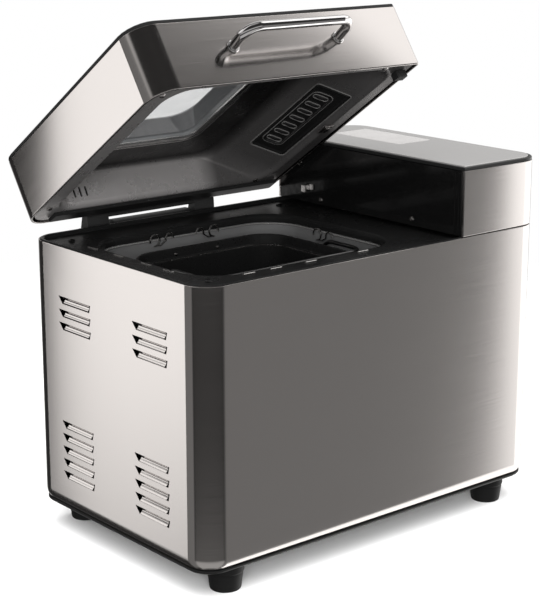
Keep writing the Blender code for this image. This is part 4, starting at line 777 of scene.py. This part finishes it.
def pane(name, tone, clear, dirt):
    """A pane that shows its own tone by its opacity, with faint smears."""
    glass = Finish(name, Specular_IOR_Level=0.6, IOR=1.5)
    smear = glass.place.noise((30.0, 60.0, 30.0), 3.0)
    glass.feed(Base_Color=smear.blend(tone, lighter(tone, 1.12)))
    glass.feed(Roughness=smear.ramp((0.35, 0.03), (0.75, 0.03 + dirt)))
    glass.feed(Alpha=smear.ramp((0.3, clear), (0.8, clear + 0.05)))
    return glass


display_glass = pane("display window", (0.40, 0.39, 0.385), 0.94, 0.05)
wear(display_glass, "display_window")

# ---------------------------------------------------------------- lid: steel sides, cap, plate and windows
# The lid's sides are one brushed band with a rolled bottom edge. A black cap frame holds a grey plate
# with a window; below it a well leads to the inner pane, whose bright trim shows inside the lid.

lid_steel = brushed("brushed stainless, lid", lid_tilt, STEEL_TONE, 0.10)
lid_low, lid_high = shut_box("lid_wrap")
LID_RIGHT_CORNER, HEM_WIDTH, HEM_HEIGHT = 0.003, 0.0020, 0.0022
LID = plan((lid_low, lid_high), (LID_RIGHT_CORNER, CORNER, CORNER, LID_RIGHT_CORNER))
hem = lid_low[2]
lid_profile = [
    (at(LID, 0.0, lid_high[2]), 0.0004),
    (at(LID, 0.0, hem), 0.0010),
    (at(LID, HEM_WIDTH, hem), 0.0008),
    (at(LID, HEM_WIDTH, hem + HEM_HEIGHT), 0.0005),
    (at(LID, SHEET, hem + HEM_HEIGHT), 0.0),
    (at(LID, SHEET, lid_high[2]), 0.0003),
]
piece("lid_steel_band", shell(lid_profile), lid_steel, "lid", "brushed_steel", "lid_wrap", turn=OPENED)
softened("lid_cap", "lid_cap_frame", satin_black, "lid", "black_moulding", 0.0006)
lid_grey = lacquered("lid plate grey", (0.36, 0.355, 0.35), 0.8)
softened("lid_panel", "lid_top_plate", lid_grey, "lid", "panel_grey", 0.0003)
softened("dispenser_cover", "dispenser_lid", gloss_black, "cover", "gloss_black", 0.0003)

lid_glass = pane("lid glass", (0.55, 0.57, 0.58), 0.10, 0.05)
wear(lid_glass, "lid_window", "inner_window")
well_lacquer = Finish("well lacquer", Metallic=0.5)
sheen = well_lacquer.place.noise((40.0, 40.0, 40.0), 3.0)
well_lacquer.feed(Base_Color=sheen.blend((0.045, 0.045, 0.047), (0.07, 0.07, 0.072)))
well_lacquer.feed(Roughness=sheen.ramp((0.3, 0.08), (0.7, 0.16)))
softened("window_well", "window_funnel", well_lacquer, "lid", "black_moulding", 0.0003)

inner_low, inner_high = shut_box("inner_window")
WINDOW_CORNER, WINDOW_ROOM = 0.0085, 0.0015
WINDOW = at(plan((inner_low, inner_high), (WINDOW_CORNER,) * 4), -WINDOW_ROOM, 0.0)[:8]
liner_low, liner_high = shut_box("lid_liner")
ceiling = liner_high[2] - SHEET
trim_steps = ((-0.0072, 0.0), (-0.0072, 0.0019), (-0.0046, 0.0019), (-0.0041, 0.0009))
trim_steps += ((-0.0031, 0.0009), (-0.0026, 0.0019), (0.0012, 0.0019), (0.0012, 0.0))
trim = [(at(WINDOW, by, ceiling - drop), 0.0004) for by, drop in trim_steps]
trim_metal = bright("window trim", (0.74, 0.73, 0.72), 0.22)
piece("window_trim", shell(trim), trim_metal, "lid", "coated_sheet", turn=OPENED)

# ---------------------------------------------------------------- lid liner
# Satin sheet pressed into a shallow tray with soft inner radii. Three vents are slotted through its rear
# wall, and screws hold its flange. The roof and the slope are the same sheet, only toned darker here in
# place of the dark things they would reflect.

flange = liner_low[2]
liner_sheet = Finish("liner sheet", Metallic=0.7)
shut_place = {"Vector": liner_sheet.place, "Rotation": (lid_tilt, 0.0, 0.0)}
shut_place["Location"] = OPENED.inverted().to_translation()
shut = liner_sheet.place.get(liner_sheet.place.node("ShaderNodeMapping", None, shut_place))
parts = shut.node("ShaderNodeSeparateXYZ", None, {"Vector": shut})
wall_height = (shut.get(parts, 2) - flange) * (1.0 / (ceiling - flange))
past_middle = shut.get(parts, 0) * 20.0 + 0.5
wall = wall_height.ramp((0.84, 1.0), (0.99, 0.0)) * past_middle.ramp((0.35, 1.0), (0.75, 0.25))
grain = shut.noise((60.0, 60.0, 60.0), 3.0)
liner_sheet.feed(Base_Color=(wall * (grain * 0.3 + 0.85)).blend((0.028, 0.027, 0.027), (0.56, 0.54, 0.535)))
liner_sheet.feed(Roughness=grain.ramp((0.3, 0.24), (0.7, 0.34)))
LIP_CORNER, WALL_DRAFT, SLOPE_RUN, WALL_FOOT = 0.020, 0.003, 0.054, 0.004
LIP = (LID[0] + 0.022, LID[1] - 0.0205, LID[2] + 0.010, LID[3] - 0.023, *(LIP_CORNER,) * 4)
ROOF = (LIP[0] + WALL_DRAFT, LIP[1] - SLOPE_RUN, LIP[2] + WALL_DRAFT, LIP[3] - WALL_DRAFT, *LIP[4:])
liner_profile = [
    (at(LID, 0.0038, flange + 0.005), 0.0),
    (at(LID, 0.0038, flange), 0.0010),
    (at(LIP, -0.0026, flange), 0.0024),
    (at(LIP, 0.0003, flange + WALL_FOOT), 0.0020),
    (at(ROOF, 0.0, ceiling), 0.0085),
    (at(WINDOW, 0.0, ceiling), 0.0),
    (at(WINDOW, 0.0, ceiling + SHEET), 0.0),
    (at(ROOF, -SHEET, ceiling + SHEET), 0.0085),
    (at(LIP, -0.0007, flange + 0.0045), 0.0020),
    (at(LIP, -0.0036, flange + SHEET), 0.0024),
    (at(LID, 0.0048, flange + SHEET), 0.0010),
    (at(LID, 0.0048, flange + 0.005), 0.0),
]
flap_low, flap_high = shut_box("dispenser_flap")
FLAP_GAP = 0.0006
door_x0, door_x1 = flap_low[0] - FLAP_GAP, flap_high[0] + FLAP_GAP
door_y0, door_y1 = flap_low[1] - FLAP_GAP, flap_high[1] + FLAP_GAP
cuts = [boxed(door_x0, door_x1, door_y0, door_y1, flange - 0.01, flange + 0.06, 0.0001, 0.0010)]
VENT_RADIUS, VENT_TOP, VENT_BOTTOM = 0.0010, 0.0165, 0.0095
for x in (LIP[0] + 0.023, LIP[0] + 0.029, LIP[0] + 0.035):
    vent = []
    for turn, z in ((0, VENT_TOP), (180, VENT_BOTTOM)):
        for i in range(7):
            bend = math.radians(turn + 30 * i)
            vent.append((x + VENT_RADIUS * math.cos(bend), 0.0, flange + z + VENT_RADIUS * math.sin(bend)))
    cuts.append(prism(vent, (0, LIP[3] - 0.012, 0), (0, 0.024, 0)))
liner = carved(shell(liner_profile), gathered(cuts))
piece("liner_pressing", liner, liner_sheet, "lid", "coated_sheet", "lid_liner", turn=OPENED)

screw_places = ((-0.172, 0.0895), (-0.173, -0.106), (0.050, -0.112), (0.052, 0.094))
flange_screws = [screw(x, middle_y + y, flange, False, 0.0026) for x, y in screw_places]
piece("liner_screws", gathered(flange_screws), bright_metal_and_highlight, "lid", "chrome", turn=OPENED)
latch = [boxed(0.0590, 0.0700, middle_y - 0.010, middle_y + 0.002, flange - 0.0012, flange + 0.001)]
latch.append(boxed(0.0620, 0.0670, middle_y - 0.0075, middle_y - 0.0005, flange - 0.0024, flange - 0.001))
piece("lid_latch", gathered(latch), bright_metal_and_highlight, "lid", "chrome", turn=OPENED)
softened("lid_rear_rail", "rear_rail_moulding", satin_black, "lid", "black_moulding", 0.0008)
softened("lid_peg", "lid_peg_moulding", satin_black, "lid", "black_moulding", 0.0008)

# ---------------------------------------------------------------- dispenser door
# A thin non-stick door, hinged at its outer edge in the liner's sloping side, closes the bottom of the
# moulded hopper. It has a raised border, a sunk field and seven ribs, traced by pale beads that are painted
# highlights.

slope_rise = ceiling - flange - WALL_FOOT
slope = math.atan2(slope_rise, SLOPE_RUN)
door_middle = ((door_x0 + door_x1) / 2, (door_y0 + door_y1) / 2)
door_level = flange + WALL_FOOT + (LIP[1] - door_middle[0]) / SLOPE_RUN * slope_rise
DOOR = OPENED @ Matrix.Translation((*door_middle, door_level)) @ Matrix.Rotation(slope, 4, "Y")
half_x = (flap_high[0] - flap_low[0]) / 2 / math.cos(slope) - 0.001
half_y = (flap_high[1] - flap_low[1]) / 2
BORDER = (-half_x, half_x, -half_y, half_y, *(0.002,) * 4)
FIELD = (-0.0135, 0.0068, -0.0455, 0.0435, *(0.006,) * 4)
door_profile = [
    (at(BORDER, 0.0, 0.0020), 0.0),
    (at(BORDER, 0.0, -0.0006), 0.0006),
    (at(BORDER, 0.0016, -0.0006), 0.0005),
    (at(BORDER, 0.0026, 0.0004), 0.0005),
    (at(FIELD, -0.0008, 0.0004), 0.0003),
    (at(FIELD, 0.0, -0.0004), 0.0004),
    (at(FIELD, 0.0010, -0.0004), 0.0004),
    (at(FIELD, 0.0020, 0.0010), 0.0),
]
RIB_COUNT, RIB_PITCH = 7, 0.0124
RIB_SHAPE = Matrix.Diagonal((0.0068, 0.0022, 0.0022, 1.0))
door_parts = [shell(door_profile, False)]
# The beads gathered here are painted highlights round the ribs and the sunk field.
ribs = []
for k in range(RIB_COUNT):
    y = (k - RIB_COUNT // 2) * RIB_PITCH - 0.001
    rib = bmesh.new()
    bmesh.ops.create_uvsphere(rib, u_segments=20, v_segments=12, radius=1.0)
    rib.transform(Matrix.Translation((-0.0035, y, 0.0012)) @ RIB_SHAPE)
    door_parts.append(rib)
    ribs.append(hoop((-0.0105, 0.0035, y - 0.0026, y + 0.0026, *(0.0025,) * 4), 0.0, 0.0004, 0.0005))
flap_black = glossy("door enamel", (0.007, 0.007, 0.007), 0.20)
piece("dispenser_door", gathered(door_parts), flap_black, "flap", "non_stick", "dispenser_flap", turn=DOOR)
# Painted highlights: pale metal beads round each rib, the sunk field and the door's opening.
rib_highlight_metal = bright("painted rib highlights", (0.26, 0.255, 0.25), 0.25, 0.6)
ribs.append(hoop(FIELD, 0.0002, 0.0, 0.0005))
piece("door_rib_highlights", gathered(ribs), rib_highlight_metal, "flap", "non_stick", turn=DOOR)
surround = hoop(BORDER, -0.0014, -0.0001, 0.0006)
piece("door_surround", surround, rib_highlight_metal, "lid", "coated_sheet", turn=DOOR)
softened("dispenser_hopper", "hopper_moulding", satin_black, "lid", "black_moulding", 0.0003)

# ---------------------------------------------------------------- lid handle
# A round bar of polished chrome, bent back at both ends. It is screwed to the lid's front through two
# turned collars.

chrome = bright("polished chrome", (0.86, 0.85, 0.85), 0.05)
bar_low, bar_high = shut_box("lid_handle")
BAR, BEND = 0.004, 0.013
x0, x1 = bar_low[0] + BAR, bar_high[0] - BAR
bar_y, foot_y = bar_low[1] + BAR, LID[2] - 0.0004
bar_z = bar_high[2] - BAR
foot_z = bar_z - 0.003
path = [(x0, foot_y, foot_z)]
for x, y_from, turn_x in ((x0, 180, 1), (x1, 270, -1)):
    for i in range(17):
        turn = math.radians(y_from + 90 * i / 16)
        back = bar_y + BEND + BEND * math.sin(turn)
        lift = (back - foot_y) / (bar_y - foot_y)
        path.append((x + turn_x * BEND + BEND * math.cos(turn), back, foot_z + (bar_z - foot_z) * lift))
path.append((x1, foot_y, foot_z))
path = [tuple(OPENED @ Vector(point)) for point in path]
wire("handle_bar", path, BAR, chrome, "lid", "chrome", "lid_handle", smooth=10)
COLLAR = (((0.0041, 0.0), 0.0), ((0.0054, 0.0), 0.0003), ((0.0054, 0.0012), 0.0006), ((0.0042, 0.0016), 0.0))
collars = []
for x in (x0, x1):
    collar = turned(COLLAR, 0, 0)
    collar.transform(Matrix.Translation((x, foot_y, foot_z)) @ FACING_FRONT)
    collars.append(collar)
piece("handle_collars", gathered(collars), chrome, "lid", "chrome", turn=OPENED)

# ---------------------------------------------------------------- hinges and mains inlet
# Moulded black arms on the lid turn on steel pins in brackets at the back of the body. A cover on the
# body and a bar on the lid lie between the hinges, and the socket for the lead sits low in the back.

hinge_black = moulded("hinge black", (0.010, 0.010, 0.010), 0.40)
for side in ("left", "right"):
    softened(f"hinge_arm_{side}", f"hinge_knuckle_{side}", hinge_black, "lid", "black_moulding", 0.0005)
    softened(f"hinge_bracket_{side}", f"hinge_ears_{side}", hinge_black, "machine", "black_moulding", 0.0005)
    softened(f"hinge_pin_{side}", f"hinge_rod_{side}", bright_metal_and_highlight, "machine", "chrome", 0.0002)
softened("hinge_cover", "hinge_cover_moulding", hinge_black, "machine", "black_moulding", 0.0006)
softened("hinge_bar", "hinge_bar_moulding", hinge_black, "lid", "black_moulding", 0.0006)
softened("power_inlet", "inlet_moulding", satin_black, "machine", "black_moulding", 0.0005)

# ---------------------------------------------------------------- works inside the body
# The motor, shafts, bearing, socket ring and heater are bare metal, and the bracket and shelf are plain
# sheet. A rubber belt joins the pulleys, and the circuit boards are varnished green.

bare = bright("bare aluminium", (0.70, 0.70, 0.71), 0.32)
wear(bare, "pan_socket", "drive_bearing", "drive_shaft", "motor", "motor_shaft", "motor_pulley")
wear(bare, "kneader_shaft", "temperature_sensor", "heating_element")
plain_sheet = coated("plain sheet", (0.42, 0.42, 0.42), 0.38)
wear(plain_sheet, "motor_bracket", "transformer", "transformer_shelf", "release_solenoid")
wear(satin_black, "drive_pulley")
wear(rubber, "drive_belt")
board_green = glossy("board varnish", (0.02, 0.11, 0.045), 0.30)
wear(board_green, "power_board", "control_board")

# ---------------------------------------------------------------- studio
# A pale floor fades into a white backdrop. Soft cards hang round the machine for the steel to reflect,
# and two lamps light the floor and the matt parts.

HALF = 1.9
square = [(-HALF, -HALF, 0.0), (HALF, -HALF, 0.0), (HALF, HALF, 0.0), (-HALF, HALF, 0.0)]
floor_mesh = bpy.data.meshes.new("floor")
floor_mesh.from_pydata(square, [], [(0, 1, 2, 3)])
floor = bpy.data.objects.new("floor", floor_mesh)
bpy.context.scene.collection.objects.link(floor)
pale = Finish("pale floor", Specular_IOR_Level=0.2)
mottle = pale.place.noise((3.0, 3.0, 3.0), 2.0)
pale.feed(Base_Color=mottle.blend((0.93, 0.93, 0.93), (0.95, 0.95, 0.95)))
pale.feed(Roughness=mottle.ramp((0.3, 0.70), (0.7, 0.80)))
away = pale.place.node("ShaderNodeVectorMath", {"operation": "LENGTH"}, {0: pale.place})
pale.feed(Alpha=pale.place.get(away, 1).ramp((0.62, 1.0), (1.0, 0.0)))
floor_mesh.materials.append(pale.made)
floor.visible_glossy = False
floor.visible_diffuse = False

world = bpy.data.worlds.new("studio air")
world.use_nodes = True
bpy.context.scene.world = world
bpy.context.scene.view_settings.view_transform = "Standard"
air = world.node_tree
outward = Link(air, air.nodes.new("ShaderNodeTexCoord").outputs["Generated"])


def turned_to(direction):
    """How far a direction points this way, from -1 to 1."""
    made = outward.node("ShaderNodeVectorMath", {"operation": "DOT_PRODUCT"}, {0: outward, 1: direction})
    return outward.get(made, 1)


def between(value, start, stop, soft):
    """1 inside the span and 0 outside it, with soft edges, in degrees."""
    low = {"Value": value, 1: start - soft, 2: start + soft}
    high = {"Value": value, 1: stop - soft, 2: stop + soft, 3: 1.0, 4: 0.0}
    rising = value.get(value.node("ShaderNodeMapRange", {"interpolation_type": "SMOOTHSTEP"}, low))
    falling = value.get(value.node("ShaderNodeMapRange", {"interpolation_type": "SMOOTHSTEP"}, high))
    return rising * falling


# The studio is read as an angle round the machine, from the lens towards its right, and a height.
STUDIO_TURN = math.radians(40.0)
side = turned_to((math.cos(STUDIO_TURN), -math.sin(STUDIO_TURN), 0.0))
towards = turned_to((-math.sin(STUDIO_TURN), -math.cos(STUDIO_TURN), 0.0))
around = side.sum("ARCTAN2", towards) * math.degrees(1.0)
upward = turned_to((0.0, 0.0, 1.0))
raised = upward.node("ShaderNodeMath", {"operation": "ARCSINE"}, {0: upward})
height = upward.get(raised) * math.degrees(1.0)

# Each card: its start and stop round the machine, its lowest and highest, its softness sideways and
# upwards, and its power.
cards = (
    (-107.6, -100.0, -25.0, 14.0, 0.25, 11.0, 1.30),
    (-99.0, -62.0, -60.0, 14.0, 4.0, 6.0, 0.16),
    (-118.0, -102.0, 20.0, 40.0, 2.0, 4.0, 1.30),
    (-160.0, -138.0, -52.0, -30.0, 3.0, 4.0, 0.45),
    (70.0, 150.0, -70.0, 6.0, 9.0, 8.0, 0.17),
    (88.45, 150.0, -70.0, 14.0, 0.4, 6.0, 1.50),
    (101.7, 150.0, 20.0, 60.0, 0.4, 6.0, 1.35),
    (-100.0, -60.0, 16.0, 75.0, 8.0, 6.0, 0.70),
    (-60.0, 66.0, -7.0, 14.0, 8.0, 2.0, 0.35),
    (-60.0, 66.0, -70.0, -26.0, 8.0, 3.0, 0.40),
)
light = 0.03 + between(height, 70.0, 95.0, 10.0) * 0.3
for start, stop, low, high, soft, fade, power in cards:
    light = light + between(around, start, stop, soft) * between(height, low, high, fade) * power
behind = 1.0 - between(around, -150.0, 150.0, 8.0)
light = light + behind * (between(height, 4.0, 60.0, 6.0) * 0.52 + between(height, -60.0, 4.0, 6.0) * 0.40)
shown = air.nodes["Background"]
backdrop = light.node("ShaderNodeBackground", None, {"Color": (1.0, 1.0, 1.0, 1.0), "Strength": 1.0})
air.links.new(light.socket, shown.inputs["Strength"])
shown.inputs["Color"].default_value = (1.0, 0.985, 0.97, 1.0)
lens_ray = Link(air, air.nodes.new("ShaderNodeLightPath").outputs["Is Camera Ray"])
seen = light.node("ShaderNodeMixShader", None, {0: lens_ray})
air.links.new(shown.outputs[0], seen.inputs[1])
air.links.new(backdrop.outputs[0], seen.inputs[2])
air.links.new(seen.outputs[0], air.nodes["World Output"].inputs["Surface"])


def soft_box(name, place, aim, size, power):
    """A lamp that lights the floor and the matt parts only."""
    light = bpy.data.lights.new(name, "AREA")
    light.shape = "RECTANGLE"
    light.size, light.size_y = size
    light.energy = power
    lamp = bpy.data.objects.new(name, light)
    bpy.context.scene.collection.objects.link(lamp)
    lamp.location = place
    lamp.rotation_euler = (Vector(aim) - Vector(place)).to_track_quat("-Z", "Y").to_euler()
    lamp.visible_glossy = False


soft_box("top soft box", (-0.3, -0.5, 2.4), (0.0, 0.2, 0.0), (4.0, 4.0), 190)
soft_box("front soft box", (-1.5, -1.9, 0.80), (0.0, 0.0, 0.35), (1.2, 0.8), 60)

# ---------------------------------------------------------------- camera
# It stands to the front left of the machine, a little higher than the open lid's top edge, and looks
# down by 14.6 degrees.

CAMERA_YAW, CAMERA_PITCH = math.radians(40.0125), math.radians(14.5547)
CAMERA_LEFT, CAMERA_FORWARD, CAMERA_RISE = 0.9040, 1.0515, 0.5235
camera_data = bpy.data.cameras.new("camera")
camera_data.lens = 100.16
camera_data.sensor_width = 36.0
camera_data.clip_start = 0.05
camera = bpy.data.objects.new("camera", camera_data)
bpy.context.scene.collection.objects.link(camera)
camera.location = (-CAMERA_LEFT, middle_y - CAMERA_FORWARD, body_low[2] + CAMERA_RISE)
camera.rotation_euler = (math.pi / 2 - CAMERA_PITCH, 0.0, -CAMERA_YAW)
bpy.context.scene.camera = camera
